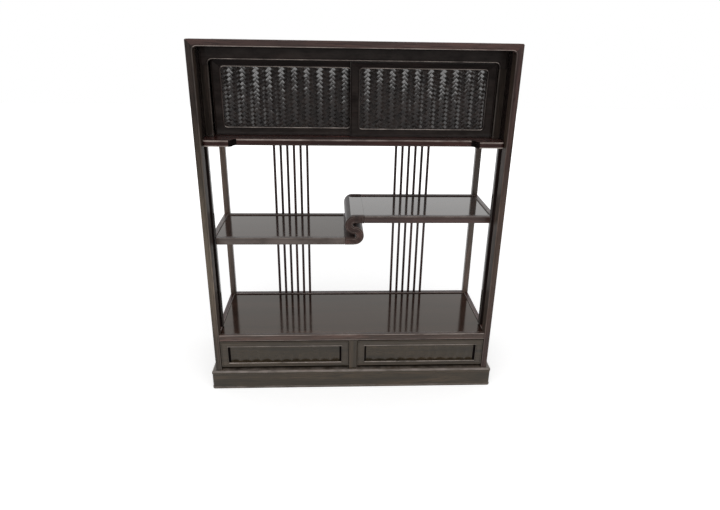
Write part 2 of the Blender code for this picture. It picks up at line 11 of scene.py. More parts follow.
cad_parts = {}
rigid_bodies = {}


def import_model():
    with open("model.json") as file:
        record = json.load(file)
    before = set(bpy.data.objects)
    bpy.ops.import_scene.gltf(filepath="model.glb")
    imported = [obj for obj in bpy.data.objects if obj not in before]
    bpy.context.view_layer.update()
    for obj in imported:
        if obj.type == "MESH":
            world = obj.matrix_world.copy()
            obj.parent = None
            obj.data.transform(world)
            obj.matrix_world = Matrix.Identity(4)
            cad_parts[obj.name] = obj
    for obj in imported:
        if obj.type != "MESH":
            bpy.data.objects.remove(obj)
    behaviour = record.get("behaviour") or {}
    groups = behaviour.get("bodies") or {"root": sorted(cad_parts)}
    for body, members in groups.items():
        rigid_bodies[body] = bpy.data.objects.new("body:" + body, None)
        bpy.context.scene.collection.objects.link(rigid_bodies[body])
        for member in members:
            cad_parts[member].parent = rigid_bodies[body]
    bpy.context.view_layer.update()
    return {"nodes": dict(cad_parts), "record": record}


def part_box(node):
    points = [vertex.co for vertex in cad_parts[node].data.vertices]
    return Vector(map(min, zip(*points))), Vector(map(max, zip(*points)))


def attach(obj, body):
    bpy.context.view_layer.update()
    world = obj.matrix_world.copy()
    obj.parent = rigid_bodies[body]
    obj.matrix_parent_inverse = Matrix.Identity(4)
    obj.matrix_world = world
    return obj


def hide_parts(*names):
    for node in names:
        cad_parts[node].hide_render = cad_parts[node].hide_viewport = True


bl_info = {
    "name": "Tea Cabinet Dressing",
    "version": (1, 0, 0),
    "blender": (4, 5, 0),
    "location": "View3D > Sidebar > Tea Cabinet",
    "description": "Models the mouldings, weave and finishes of a tea cabinet around its packed frame",
    "category": "Object",
}

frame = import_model()

# Directions
ORIGIN = Vector((0.0, 0.0, 0.0))
ACROSS = Vector((1.0, 0.0, 0.0))
UP = Vector((0.0, 0.0, 1.0))

# Small distances used when picking and fitting
TOUCH = 0.00005
FIT = 0.0003
WELD = 0.00001
MARGIN = 0.02

# Parts of a unit length by which edges and faces are sorted
SQUARE = 0.99
ROUNDED = 0.985
STRAIGHT = 0.98
FLAT = 0.97
FACING = 0.9
SIDEWAYS = 0.7
TURNED = 0.5
UPRIGHT = 0.2
INWARD = 0.1
SLIGHT = 0.001
CURL_INNER = 0.3
CURL_FRONT = (0.25, 0.95)

# Fixed facts of the frame that its boxes don't give
PLINTH_BOARD = 0.022
PORTAL_CORNER = 0.011
CASE_CORNER = 0.012
CASE_STILE = 0.022
STILE_THICK = 0.010
DOOR_CORNER = 0.008
DOOR_REBATE = 0.006
FOOT_TONGUE = 0.0054
HEAD_TONGUE = 0.009
TONGUE_INSET = 0.0015
TONGUE_THICK = 0.007
HEAD_GROOVE = 0.009
GROOVE_PLAY = 0.0005
SHELF_RIM = 0.015
SHELF_SINK = 0.004
DRAWER_SIDE = 0.024
DRAWER_TOP = 0.020
DRAWER_FOOT = 0.014
DRAWER_RECESS = 0.006
DRAWER_CORNER = 0.009
RECESS_CORNER = 0.0012
EAR_FRONT = 0.014
# Width of the painted shade at each end of a drawer's recess
END_STRIP = 0.0036
OPEN_FOOT = -1.0

# Roundings as shares of the ordinary one
SOFT_EDGE = 0.8
POST_EDGE = 1.3
TOP_EDGE = 1.5
DRAWER_EDGE = 1.3

# Roundings of the plinth as shares of its top bead's height, or of its inset
PLINTH_NOSE = 0.65
PLINTH_BEAD = 0.9
PLINTH_SOLE = 0.7

# The case floor's lower bead as a share of a bead, and the open mitre as a share of the fit
LOWER_BEAD = 0.8
MITRE_GAP = 0.7

# How far the weave's columns start outside each panel
WEAVE_START = {"left": 0.006, "right": 0.010}

# A splint's half length and width in splint widths, its cuts as shares of the half length,
# and its rounding and what shows of it above the backing as shares of its thickness
SPLINT_REACH = 1.5
SPLINT_FILL = 0.95
SPLINT_CUTS = (0.12, 0.32, 1.0)
SPLINT_EDGE = 0.45
SPLINT_SHOWN = 0.5

# Steps across an adze hollow, ranges of width and depth, and depth by height in the recess, as shares
HOLLOW_STEPS = 6
HOLLOW_WIDTHS = (0.8, 1.2)
HOLLOW_DEPTHS = (0.75, 1.25)
HOLLOW_LEVELS = ((0.0, 1.0), (0.30, 0.75), (0.65, 0.5), (1.0, 0.3))

# Heights over which the painted light on the portal's posts dies away upwards, and over which it grows from
# their darker feet
LIGHT_HEIGHTS = (0.45, 0.90)
FOOT_HEIGHTS = (0.18, 0.44)

# How far faces are paled by wear and by painted highlights: 1 is bare, 0 is untouched, and below 0 they are
# darkened with painted shade
WEAR_LIGHT_SHADE = {
    "outer_edge": 0.12,
    "bead_flat": 0.05,
    "level_bead": 0.9,
    "upright_bead": 0.15,
    "plinth_foot": 0.3,
    "plinth_round": 0.5,
    "plinth_top": 0.35,
    "post_edge": 0.1,
    "ear_top": 0.5,
    "ear_bead": 1.0,
    "floor_upper_bead": 0.75,
    "floor_lower_bead": 0.15,
    "rim_bead": 0.4,
    "rim_side": 0.7,
    "rim_face": 0.2,
    "rim_edge": 0.15,
    # Painted shade inside the S-board's curl
    "curl_hollow": -0.6,
    "curl_edge": 0.4,
    "rail_edge": 0.6,
    "front_rail_edge": 0.7,
    "front_rail_foot": 0.55,
    # Painted shade along the front rail's lower rounded edge
    "front_rail_shade": -0.6,
    "recess_head": 0.4,
}

BODY_OF = {}
for body_name, members in frame["record"]["behaviour"]["bodies"].items():
    for member in members:
        BODY_OF[member] = body_name

FINISHES = {}
SEEDS = random.Random(17)


# Settings

class MouldingSettings(bpy.types.PropertyGroup):
    """Sizes of the beads and rounded edges."""
    bead: FloatProperty(name="Bead", description="Width of the bead along an edge",
                        default=0.0042, unit="LENGTH")
    quirk: FloatProperty(name="Quirk", description="Width of the fine groove beside a bead",
                         default=0.0010, unit="LENGTH")
    quirk_depth: FloatProperty(name="Quirk depth", description="Depth of the fine groove beside a bead",
                               default=0.0012, unit="LENGTH")
    arris: FloatProperty(name="Arris", description="Rounding of an ordinary edge",
                         default=0.0020, unit="LENGTH")
    stick: FloatProperty(name="Stick", description="Rounding of the slats",
                         default=0.0026, unit="LENGTH")
    plinth_inset: FloatProperty(name="Plinth inset", description="Depth of the face behind the beads",
                                default=0.0014, unit="LENGTH")
    plinth_top: FloatProperty(name="Plinth top bead", description="Height of the plinth's upper bead",
                              default=0.0115, unit="LENGTH")
    plinth_foot: FloatProperty(name="Plinth foot bead", description="Height of the plinth's lower bead",
                               default=0.0080, unit="LENGTH")
    plinth_corner: FloatProperty(name="Plinth corner", description="Rounding of the plinth's front corners",
                                 default=0.0080, unit="LENGTH")
    outer_corner: FloatProperty(name="Portal corner", description="Rounding of the portal's upper corners",
                                default=0.0045, unit="LENGTH")


class WorkSettings(bpy.types.PropertyGroup):
    """Sizes of the woven and the hand-worked panels."""
    splint: FloatProperty(name="Splint", description="Width of one woven splint",
                          default=0.0086, unit="LENGTH")
    splint_thick: FloatProperty(name="Splint thickness", description="Thickness of one splint",
                                default=0.0012, unit="LENGTH")
    tuck: FloatProperty(name="Tuck", description="How far a splint's end goes under its neighbour",
                        default=0.0026, unit="LENGTH")
    dip: FloatProperty(name="Dip", description="How deep a splint's end goes",
                       default=0.0021, unit="LENGTH")
    crown: FloatProperty(name="Crown", description="Rounding over a splint's middle, as a share of its half",
                         default=0.25, min=0.05, max=2.0)
    unevenness: FloatProperty(name="Unevenness", description="How far the splints lean from one another",
                              default=0.014, min=0.0, max=0.1)
    hollows: IntProperty(name="Hollows", description="Adze hollows across one drawer panel",
                         default=11, min=3, max=40)
    hollow_depth: FloatProperty(name="Hollow depth", description="Depth of an adze hollow",
                                default=0.0042, unit="LENGTH")


class FinishSettings(bpy.types.PropertyGroup):
    """Colours of the finishes."""
    heartwood: FloatVectorProperty(name="Heartwood", description="Dark ground of the rosewood",
                                   subtype="COLOR", default=(0.014, 0.0085, 0.0078))
    figure: FloatVectorProperty(name="Figure", description="Middle tone of the rosewood",
                                subtype="COLOR", default=(0.040, 0.0225, 0.0200))
    streak: FloatVectorProperty(name="Streak", description="Reddish streaks of the rosewood",
                                subtype="COLOR", default=(0.085, 0.043, 0.038))
    # Pale colour of worn edges and of the painted highlights on beads and tops
    rubbed: FloatVectorProperty(name="Rubbed edge", description="Wood where the edges are worn",
                                subtype="COLOR", default=(0.480, 0.410, 0.370))
    # Colour of the painted shade in gaps, corners and hollows
    shade_colour: FloatVectorProperty(name="Grime", description="Old wax in the gaps and corners",
                               subtype="COLOR", default=(0.004, 0.003, 0.003))
    red: FloatVectorProperty(name="Red tint", description="Tint of slats, case floor and other deck rails",
                             subtype="COLOR", default=(1.40, 1.05, 1.0))
    tawny: FloatVectorProperty(name="Tawny tint", description="Tint of the deck's front rail and lower rim",
                               subtype="COLOR", default=(2.2, 2.5, 2.2))
    left_post: FloatVectorProperty(name="Left post tint", description="Tint of the portal's left post",
                                   subtype="COLOR", default=(1.25, 1.60, 1.50))
    # Painted light: how much lighter the left post is painted part way down
    left_post_light: FloatVectorProperty(name="Left post fading", description="Fading of the left post below",
                                   subtype="COLOR", default=(4.9, 5.2, 4.5))
    right_post: FloatVectorProperty(name="Right post tint", description="Tint of the portal's right post",
                                    subtype="COLOR", default=(2.2, 2.3, 2.3))
    # Painted light: how much lighter the right post is painted part way down
    right_post_light: FloatVectorProperty(name="Right post fading", description="Fading of the right post below",
                                    subtype="COLOR", default=(1.4, 1.4, 1.1))
    umber: FloatVectorProperty(name="Umber tint", description="Tint of the plinth and the drawers",
                               subtype="COLOR", default=(1.6, 2.0, 1.3))
    russet: FloatVectorProperty(name="Russet tint", description="Tint of the top rail and the upper rim",
                                subtype="COLOR", default=(1.95, 1.85, 1.75))
    olive: FloatVectorProperty(name="Olive tint", description="Tint of the rear posts",
                               subtype="COLOR", default=(3.4, 4.2, 3.6))
    curl: FloatVectorProperty(name="Curl tint", description="Tint of the S-shaped board",
                              subtype="COLOR", default=(2.1, 2.2, 2.1))
    dark: FloatVectorProperty(name="Dark tint", description="Tint of doors and frame behind the portal",
                              subtype="COLOR", default=(0.42, 0.50, 0.50))
    shaded: FloatVectorProperty(name="Shaded tint", description="Tint of the stiles beside the doors",
                                subtype="COLOR", default=(0.90, 1.20, 1.10))
    dull: FloatVectorProperty(name="Dull tint", description="Tint of the top board and portal's inner sides",
                              subtype="COLOR", default=(1.4, 1.7, 1.4))
    warm: FloatVectorProperty(name="Warm tint", description="Tint of the wood under the lacquered panels",
                              subtype="COLOR", default=(1.6, 1.45, 1.2))
    warm_gloss: FloatVectorProperty(name="Warm gloss", description="Gloss tint of lower shelf and deck",
                                    subtype="COLOR", default=(1.0, 0.90, 0.75))
    pale_gloss: FloatVectorProperty(name="Pale gloss", description="Gloss tint of the upper shelf",
                                    subtype="COLOR", default=(1.0, 0.94, 0.86))
    splint_dark: FloatVectorProperty(name="Dark splint", description="Darkest splints",
                                     subtype="COLOR", default=(0.013, 0.0100, 0.0090))
    splint_light: FloatVectorProperty(name="Light splint", description="Lightest splints",
                                      subtype="COLOR", default=(0.032, 0.023, 0.020))
    paulownia_pale: FloatVectorProperty(name="Pale paulownia", description="Early wood of the drawer boxes",
                                        subtype="COLOR", default=(0.58, 0.45, 0.30))
    paulownia_line: FloatVectorProperty(name="Paulownia lines", description="Late wood of the drawer boxes",
                                        subtype="COLOR", default=(0.36, 0.25, 0.15))


class StageSettings(bpy.types.PropertyGroup):
    """Light and view."""
    top_power: FloatProperty(name="Top light", description="Power of the large soft light above",
                             default=24.0, unit="POWER")
    key_power: FloatProperty(name="Key light", description="Power of the wide soft box in front",
                             default=26.5, unit="POWER")
    low_power: FloatProperty(name="Low light", description="Power of the dimmer soft box under it",
                             default=3.0, unit="POWER")
    sky: FloatProperty(name="Sky", description="Level of the even light from all round", default=0.42)
    yaw: FloatProperty(name="Yaw", description="Camera turned to the right",
                       default=math.radians(2.9069), unit="ROTATION")
    pitch: FloatProperty(name="Pitch", description="Camera turned down",
                         default=math.radians(22.2474), unit="ROTATION")
    roll: FloatProperty(name="Roll", description="Camera turned about its own axis",
                        default=math.radians(-0.9557), unit="ROTATION")
    lens: FloatProperty(name="Lens", description="Focal length in millimetres",
                        default=27.537, unit="CAMERA")
    sideways: FloatProperty(name="Sideways", description="Camera to the right of the middle",
                            default=-0.06116, unit="LENGTH")
    distance: FloatProperty(name="Distance", description="Camera in front of the portal",
                            default=1.55557, unit="LENGTH")
    height: FloatProperty(name="Height", description="Camera above the floor",
                          default=1.11322, unit="LENGTH")


# Handling of objects and selections

def clear_selection():
    active = bpy.context.view_layer.objects.active
    if active and active.mode != "OBJECT":
        bpy.ops.object.mode_set(mode="OBJECT")
    bpy.ops.object.select_all(action="DESELECT")


def make_active(piece):
    clear_selection()
    piece.select_set(True)
    bpy.context.view_layer.objects.active = piece


def begin_edit(piece):
    make_active(piece)
    bpy.ops.object.mode_set(mode="EDIT")


def end_edit():
    bpy.ops.object.mode_set(mode="OBJECT")


def pick(piece, kind, test):
    """In edit mode, selects only the vertices, edges or faces that pass the test."""
    bpy.ops.mesh.select_mode(type=kind)
    bpy.ops.mesh.select_all(action="DESELECT")
    shape = bmesh.from_edit_mesh(piece.data)
    shape.normal_update()
    items = {"VERT": shape.verts, "EDGE": shape.edges, "FACE": shape.faces}[kind]
    found = [item for item in items if test(item)]
    if not found:
        raise RuntimeError(f"nothing to pick on {piece.name}")
    for item in found:
        item.select_set(True)
    shape.select_flush_mode()
    bmesh.update_edit_mesh(piece.data)


def selected_faces(piece):
    """In edit mode, the numbers of the selected faces."""
    shape = bmesh.from_edit_mesh(piece.data)
    return {face.index for face in shape.faces if face.select}


def add_block(name, low, high):
    """A cube added at the size and place of a board."""
    clear_selection()
    low = Vector(low)
    high = Vector(high)
    bpy.ops.mesh.primitive_cube_add(size=1.0, location=(low + high) / 2, scale=high - low)
    piece = bpy.context.object
    piece.name = name
    piece.data.name = name
    bpy.ops.object.transform_apply(location=True, rotation=True, scale=True)
    return piece


def copy_node(node, name):
    """A merged copy of a CAD node, to be moulded further."""
    piece = bpy.data.objects.new(name, frame["nodes"][node].data.copy())
    piece.data.name = name
    piece.data.materials.clear()
    bpy.context.scene.collection.objects.link(piece)
    make_active(piece)
    bpy.ops.mesh.customdata_custom_splitnormals_clear()
    begin_edit(piece)
    bpy.ops.mesh.select_all(action="SELECT")
    bpy.ops.mesh.remove_doubles(threshold=WELD)
    bpy.ops.mesh.dissolve_limited(angle_limit=math.radians(0.5))
    end_edit()
    return piece


def duplicate(piece, name):
    copied = piece.copy()
    copied.data = piece.data.copy()
    copied.name = name
    copied.data.name = name
    bpy.context.scene.collection.objects.link(copied)
    return copied


def join(pieces):
    """Makes one object of several and returns the first."""
    make_active(pieces[0])
    for piece in pieces[1:]:
        piece.select_set(True)
    bpy.ops.object.join()
    return pieces[0]


def apply_modifier(piece, kind, **values):
    make_active(piece)
    bpy.ops.object.modifier_add(type=kind)
    modifier = piece.modifiers[-1]
    for key, value in values.items():
        setattr(modifier, key, value)
    bpy.ops.object.modifier_apply(modifier=modifier.name)


def apply_boolean(piece, other, operation):
    apply_modifier(piece, "BOOLEAN", operation=operation, solver="EXACT", object=other)
    bpy.data.objects.remove(other, do_unlink=True)


def repeat(piece, count, step):
    apply_modifier(piece, "ARRAY", count=count, use_relative_offset=False, use_constant_offset=True,
                   constant_offset_displace=step)


def score(place, normal):
    """In edit mode, cuts the whole mesh along a plane and keeps both sides."""
    bpy.ops.mesh.select_all(action="SELECT")
    bpy.ops.mesh.bisect(plane_co=place, plane_no=normal)


def trim(piece, place, normal):
    """Cuts away what lies on the side the normal points to and closes the cut."""
    begin_edit(piece)
    bpy.ops.mesh.select_all(action="SELECT")
    bpy.ops.mesh.bisect(plane_co=place, plane_no=normal, use_fill=True, clear_outer=True)
    end_edit()


def sink_faces(depth, even=False):
    """In edit mode, sinks the selected faces below their surroundings."""
    inward = {"value": -depth, "use_even_offset": even}
    bpy.ops.mesh.extrude_region_shrink_fatten(TRANSFORM_OT_shrink_fatten=inward)


# Edges and mouldings

def runs_along(edge, axis):
    run = edge.verts[1].co - edge.verts[0].co
    return abs(run[axis]) > STRAIGHT * run.length


def is_arris(edge):
    return edge.calc_face_angle_signed(0.0) > math.radians(50)


def at_height(item, height):
    return all(abs(vert.co.z - height) < TOUCH for vert in item.verts)


def ahead_of(item, limit):
    """Whether an edge or a face lies wholly in front of a place."""
    return all(vert.co.y < limit for vert in item.verts)


def round_edges(piece, width, test, segments=3):
    begin_edit(piece)
    pick(piece, "EDGE", test)
    bpy.ops.mesh.bevel(offset=width, segments=segments, affect="EDGES", clamp_overlap=True)
    end_edit()


def cut_quirk(piece, height, test, settings):
    """A fine groove at this height, on the faces whose line passes the test."""
    half = settings.quirk / 2

    def in_band(face):
        near = all(abs(vert.co.z - height) < half + TOUCH for vert in face.verts)
        return near and abs(face.normal.z) < UPRIGHT and test(face)

    begin_edit(piece)
    score(height * UP, UP)
    pick(piece, "EDGE", lambda edge: at_height(edge, height) and test(edge))
    bpy.ops.mesh.bevel(offset=half, segments=1, affect="EDGES")
    pick(piece, "FACE", in_band)
    sink_faces(settings.quirk_depth)
    end_edit()


def bead_and_quirk(piece, on_front, settings, sunk=lambda face: True):
    """In edit mode, insets a bead round the front and sinks a fine groove beside it."""
    pick(piece, "FACE", on_front)
    bpy.ops.mesh.inset(thickness=settings.bead, use_even_offset=True)
    bpy.ops.mesh.inset(thickness=settings.quirk, use_even_offset=True)
    flat = selected_faces(piece)
    bpy.ops.mesh.select_more()
    ring = selected_faces(piece) - flat
    pick(piece, "FACE", lambda face: face.index in ring and sunk(face))
    sink_faces(settings.quirk_depth)


class Window:
    """A rounded opening in an upright frame."""

    def __init__(self, x, z, radius, round_foot):
        self.x = x
        self.z = z
        self.radius = radius
        self.round_foot = round_foot

    def gap(self, place):
        """How far a place lies outside the edge of the opening."""
        across = abs(place.x - sum(self.x) / 2) - (self.x[1] - self.x[0]) / 2 + self.radius
        upright = abs(place.z - sum(self.z) / 2) - (self.z[1] - self.z[0]) / 2 + self.radius
        outside = math.hypot(max(across, 0.0), max(upright, 0.0))
        return outside + min(max(across, upright), 0.0) - self.radius

    def cutter(self, front, back):
        low = (self.x[0], front, self.z[0])
        high = (self.x[1], back, self.z[1])
        block = add_block("opening", low, high)
        middle = sum(self.z) / 2

        def corner(edge):
            return runs_along(edge, 1) and (self.round_foot or edge.verts[0].co.z > middle)

        round_edges(block, self.radius, corner, segments=8)
        return block


def beaded_frame(name, low, high, window, settings, depth=None, outer_quirk=False, soft_corner=((), 0.0),
                 edge_share=SOFT_EDGE):
    """A board with an opening whose edge carries a bead and a quirk, and with rounded upper corners."""
    piece = add_block(name, low, high)
    corners, radius = soft_corner
    front = low[1]
    back = high[1] + MARGIN if depth is None else front + depth
    reach = settings.bead + 2 * settings.quirk

    def beside_corner(place, distance):
        return any(abs(place.x - corner) < distance for corner in corners)

    def at_corner(edge):
        upper = at_height(edge, high[2])
        return upper and runs_along(edge, 1) and beside_corner(edge.verts[0].co, TOUCH)

    def on_front(face):
        return face.normal.y < -FACING and face.calc_center_median().y < front + TOUCH

    def in_quirk(face):
        return outer_quirk or window.gap(face.calc_center_median()) < reach

    def bead_edge(edge):
        beside_window = all(abs(window.gap(vert.co)) < 4 * TOUCH for vert in edge.verts)
        return beside_window and ahead_of(edge, front + TOUCH)

    def on_outside(place):
        beside = min(abs(place.x - low[0]), abs(place.x - high[0]))
        above = min(abs(place.z - low[2]), abs(place.z - high[2]))
        near_corner = beside_corner(place, radius + TOUCH) and place.z > high[2] - radius - TOUCH
        return min(beside, above) <= TOUCH or near_corner

    def outer_edge(edge):
        far = all(window.gap(vert.co) > reach and on_outside(vert.co) for vert in edge.verts)
        return far and is_arris(edge) and edge.calc_length() > settings.quirk_depth * 2

    if corners:
        round_edges(piece, radius, at_corner, segments=8)
    apply_boolean(piece, window.cutter(front - MARGIN, back), "DIFFERENCE")
    begin_edit(piece)
    bead_and_quirk(piece, on_front, settings, in_quirk)
    end_edit()
    round_edges(piece, settings.arris, bead_edge)
    round_edges(piece, settings.arris * edge_share, outer_edge)
    return piece


def rounded_edge(face):
    """One on the narrow facets of a rounded edge."""
    slant = max(abs(part) for part in face.normal)
    return 1.0 if slant < ROUNDED else 0.0


def bead_wear_and_highlight(window, front, settings):
    """How far a face of a beaded frame is paled by wear and painted highlight: most on the bead's arris,
    less on its flat.
    """
    def worn_and_lit(face):
        if face.center.y >= front + settings.arris:
            return 0.0
        if window.gap(face.center) > settings.bead:
            return rounded_edge(face) * WEAR_LIGHT_SHADE["outer_edge"]
        if face.normal.y < -SQUARE:
            return WEAR_LIGHT_SHADE["bead_flat"]
        # Level beads get a strong painted highlight, upright beads a faint one
        level = abs(face.normal.z) > abs(face.normal.x)
        return WEAR_LIGHT_SHADE["level_bead"] if level else WEAR_LIGHT_SHADE["upright_bead"]
    return worn_and_lit


# Finishes

def set_inputs(node, values):
    for key, value in values.items():
        node.inputs[key].default_value = value


def add_node(tree, kind, inputs=None, **values):
    node = tree.nodes.new(kind)
    for key, value in values.items():
        setattr(node, key, value)
    set_inputs(node, inputs or {})
    return node


def new_finish(name):
    material = bpy.data.materials.new(name)
    material.use_nodes = True
    tree = material.node_tree
    FINISHES[name] = material
    return tree, tree.nodes["Principled BSDF"]


def board_place(tree):
    """Object coordinates, moved for each board so that no two show the same grain."""
    coordinate = add_node(tree, "ShaderNodeTexCoord")
    board = add_node(tree, "ShaderNodeAttribute", attribute_name="board")
    spread = add_node(tree, "ShaderNodeVectorMath", {0: (3.7, 2.9, 5.3)}, operation="SCALE")
    place = add_node(tree, "ShaderNodeVectorMath", operation="ADD")
    tree.links.new(board.outputs["Fac"], spread.inputs["Scale"])
    tree.links.new(coordinate.outputs["Object"], place.inputs[0])
    tree.links.new(spread.outputs["Vector"], place.inputs[1])
    return place.outputs["Vector"]


def grain_noise(tree, place, axis, along, across, detail, distortion=0.0, turn=(0.0, 0.0, 0.0)):
    """Noise drawn out along the grain."""
    scale = [across, across, across]
    scale[axis] = along
    mapping = add_node(tree, "ShaderNodeMapping", {"Scale": scale, "Rotation": turn})
    noise = add_node(tree, "ShaderNodeTexNoise", {"Scale": 1.0, "Detail": detail, "Roughness": 0.62,
                                                  "Distortion": distortion})
    tree.links.new(place, mapping.inputs["Vector"])
    tree.links.new(mapping.outputs["Vector"], noise.inputs["Vector"])
    return noise.outputs["Fac"]


def colour_ramp(tree, factor, stops):
    ramp = add_node(tree, "ShaderNodeValToRGB")
    elements = ramp.color_ramp.elements
    while len(elements) < len(stops):
        elements.new(0.5)
    for element, (position, colour) in zip(elements, stops):
        element.position = position
        element.color = (*colour, 1.0)
    tree.links.new(factor, ramp.inputs["Fac"])
    return ramp.outputs["Color"]


def value_range(tree, value, target, source=(0.0, 1.0)):
    """A value moved from one range to another."""
    node = add_node(tree, "ShaderNodeMapRange", {"From Min": source[0], "From Max": source[1],
                                                 "To Min": target[0], "To Max": target[1]})
    tree.links.new(value, node.inputs["Value"])
    return node.outputs["Result"]


def combine(tree, operation, first, second):
    node = add_node(tree, "ShaderNodeMath", operation=operation)
    tree.links.new(first, node.inputs[0])
    tree.links.new(second, node.inputs[1])
    return node.outputs["Value"]


def mix_colour(tree, factor, first, second, blend="MIX"):
    node = add_node(tree, "ShaderNodeMix", data_type="RGBA", blend_type=blend)
    if isinstance(factor, float):
        node.inputs["Factor"].default_value = factor
    else:
        tree.links.new(factor, node.inputs["Factor"])
    for socket, colour in ((node.inputs[6], first), (node.inputs[7], second)):
        if isinstance(colour, bpy.types.NodeSocket):
            tree.links.new(colour, socket)
        else:
            socket.default_value = (*colour, 1.0)
    return node.outputs[2]


def lay_finish(tree, shader, colour, rough, constants):
    """Links the colour and the roughness, and sets what is the same all over."""
    tree.links.new(colour, shader.inputs["Base Color"])
    tree.links.new(rough, shader.inputs["Roughness"])
    set_inputs(shader, constants)


def add_bump(tree, shader, height, strength, distance=0.0002):
    bump = add_node(tree, "ShaderNodeBump", {"Strength": strength, "Distance": distance})
    tree.links.new(height, bump.inputs["Height"])
    tree.links.new(bump.outputs["Normal"], shader.inputs["Normal"])


def wood_tones(colours, tint):
    """Ground, middle tone and streaks of the rosewood under a tint."""
    tones = (colours.heartwood, colours.figure, colours.streak)
    return [tuple(part * share for part, share in zip(tone, tint)) for tone in tones]


def painted_light(tree):
    """Painted light on the portal's posts by height: one where it is strongest, less at their feet, none
    high up.
    """
    coordinate = add_node(tree, "ShaderNodeTexCoord")
    parts = add_node(tree, "ShaderNodeSeparateXYZ")
    tree.links.new(coordinate.outputs["Object"], parts.inputs["Vector"])
    height = parts.outputs["Z"]
    from_head = value_range(tree, height, (1.0, 0.0), LIGHT_HEIGHTS)
    from_foot = value_range(tree, height, (0.2, 1.0), FOOT_HEIGHTS)
    return combine(tree, "MULTIPLY", from_head, from_foot)


def make_rosewood(name, axis, colours, tint, gloss, rough, light_tint):
    """Dark figured rosewood with pores along the grain, edges paler from wear and painted highlights, and
    painted shade in dark corners.
    """
    tree, shader = new_finish(name)
    heartwood, middle, streak = wood_tones(colours, tint)
    place = board_place(tree)
    figure = grain_noise(tree, place, axis, along=1.6, across=26.0, detail=6.0, distortion=0.8)
    ground = colour_ramp(tree, figure, ((0.30, heartwood), (0.52, middle), (0.74, streak)))
    cloud = grain_noise(tree, place, axis, along=5.0, across=9.0, detail=3.0)
    clouded = value_range(tree, cloud, (0.0, 0.55), (0.35, 0.7))
    toned = mix_colour(tree, clouded, ground, heartwood)
    pores = grain_noise(tree, place, axis, along=22.0, across=620.0, detail=2.0)
    pore_mask = value_range(tree, pores, (1.0, 0.0), (0.34, 0.46))
    grained = mix_colour(tree, pore_mask, toned, heartwood)
    # Painted light, lighter part way down the portal's posts
    if light_tint:
        grained = mix_colour(tree, painted_light(tree), grained, light_tint, "MULTIPLY")
    edge = add_node(tree, "ShaderNodeAttribute", attribute_name="rubbed").outputs["Fac"]
    patches = grain_noise(tree, place, axis, along=16.0, across=30.0, detail=4.0)
    worn_and_lit = combine(tree, "MULTIPLY", edge, value_range(tree, patches, (0.25, 1.0), (0.35, 0.65)))
    paled = mix_colour(tree, worn_and_lit, grained, colours.rubbed)
    # Marks below zero paint shade
    shade_mask = value_range(tree, edge, (1.0, 0.0), (-1.0, 0.0))
    final = mix_colour(tree, shade_mask, paled, colours.shade_colour)
    lay_finish(tree, shader, final, value_range(tree, cloud, rough), {
        "Specular IOR Level": gloss, "Coat Weight": gloss * 0.3, "Coat Roughness": 0.12})
    add_bump(tree, shader, pores, 0.06)


def make_lacquer(name, colours, gloss_tint, coat):
    """Rosewood board under clear, level lacquer."""
    tree, shader = new_finish(name)
    heartwood, middle, streak = wood_tones(colours, colours.warm)
    place = board_place(tree)
    figure = grain_noise(tree, place, 0, along=1.3, across=20.0, detail=6.0, distortion=0.7)
    ground = colour_ramp(tree, figure, ((0.30, heartwood), (0.60, middle), (0.85, streak)))
    toned = mix_colour(tree, 0.45, ground, heartwood)
    sheen = grain_noise(tree, place, 0, along=6.0, across=14.0, detail=3.0)
    lay_finish(tree, shader, toned, value_range(tree, sheen, (0.07, 0.13)), {
        "Specular Tint": (*gloss_tint, 1.0), "Coat Weight": coat, "Coat Roughness": 0.03, "IOR": 1.5})
    level = grain_noise(tree, place, 0, along=3.0, across=5.0, detail=2.0)
    add_bump(tree, shader, level, 0.02, distance=0.0006)


def make_splint(name, turn, colours):
    """A lacquered splint, its fibres along its own direction."""
    tree, shader = new_finish(name)
    place = board_place(tree)
    fibre = grain_noise(tree, place, 0, along=20.0, across=520.0, detail=3.0, turn=(0.0, turn, 0.0))
    board = add_node(tree, "ShaderNodeAttribute", attribute_name="board")
    tone = mix_colour(tree, board.outputs["Fac"], colours.splint_dark, colours.splint_light)
    lines = value_range(tree, fibre, (0.0, 0.6), (0.4, 0.7))
    lined = mix_colour(tree, lines, tone, colours.splint_dark)
    lay_finish(tree, shader, lined, value_range(tree, fibre, (0.08, 0.13)), {
        "Coat Weight": 0.25, "Coat Roughness": 0.06, "IOR": 1.5})
    add_bump(tree, shader, fibre, 0.02)


def make_shade_finish(colours):
    """Painted shade: a dull, dark finish put in the gaps and along the recesses."""
    tree, shader = new_finish("old_wax")
    crumbs = grain_noise(tree, board_place(tree), 0, along=90.0, across=240.0, detail=4.0)
    crumbling = value_range(tree, crumbs, (0.0, 0.5), (0.4, 0.7))
    crumbled = mix_colour(tree, crumbling, colours.shade_colour, colours.heartwood)
    lay_finish(tree, shader, crumbled, value_range(tree, crumbs, (0.75, 0.95)), {"Specular IOR Level": 0.05})
    add_bump(tree, shader, crumbs, 0.1)


def make_paulownia(name, axis, colours):
    """Bare planed paulownia with soft growth lines."""
    tree, shader = new_finish(name)
    line = colours.paulownia_line
    pale = colours.paulownia_pale
    place = board_place(tree)
    lines = grain_noise(tree, place, axis, along=1.2, across=150.0, detail=4.0, distortion=0.6)
    ground = colour_ramp(tree, lines, ((0.36, line), (0.52, pale), (0.80, pale)))
    cloud = grain_noise(tree, place, axis, along=3.0, across=7.0, detail=2.0)
    toned = mix_colour(tree, value_range(tree, cloud, (0.0, 0.35), (0.3, 0.7)), ground, line)
    fibre = grain_noise(tree, place, axis, along=30.0, across=700.0, detail=2.0)
    lay_finish(tree, shader, toned, value_range(tree, fibre, (0.52, 0.70)), {})
    add_bump(tree, shader, fibre, 0.2)


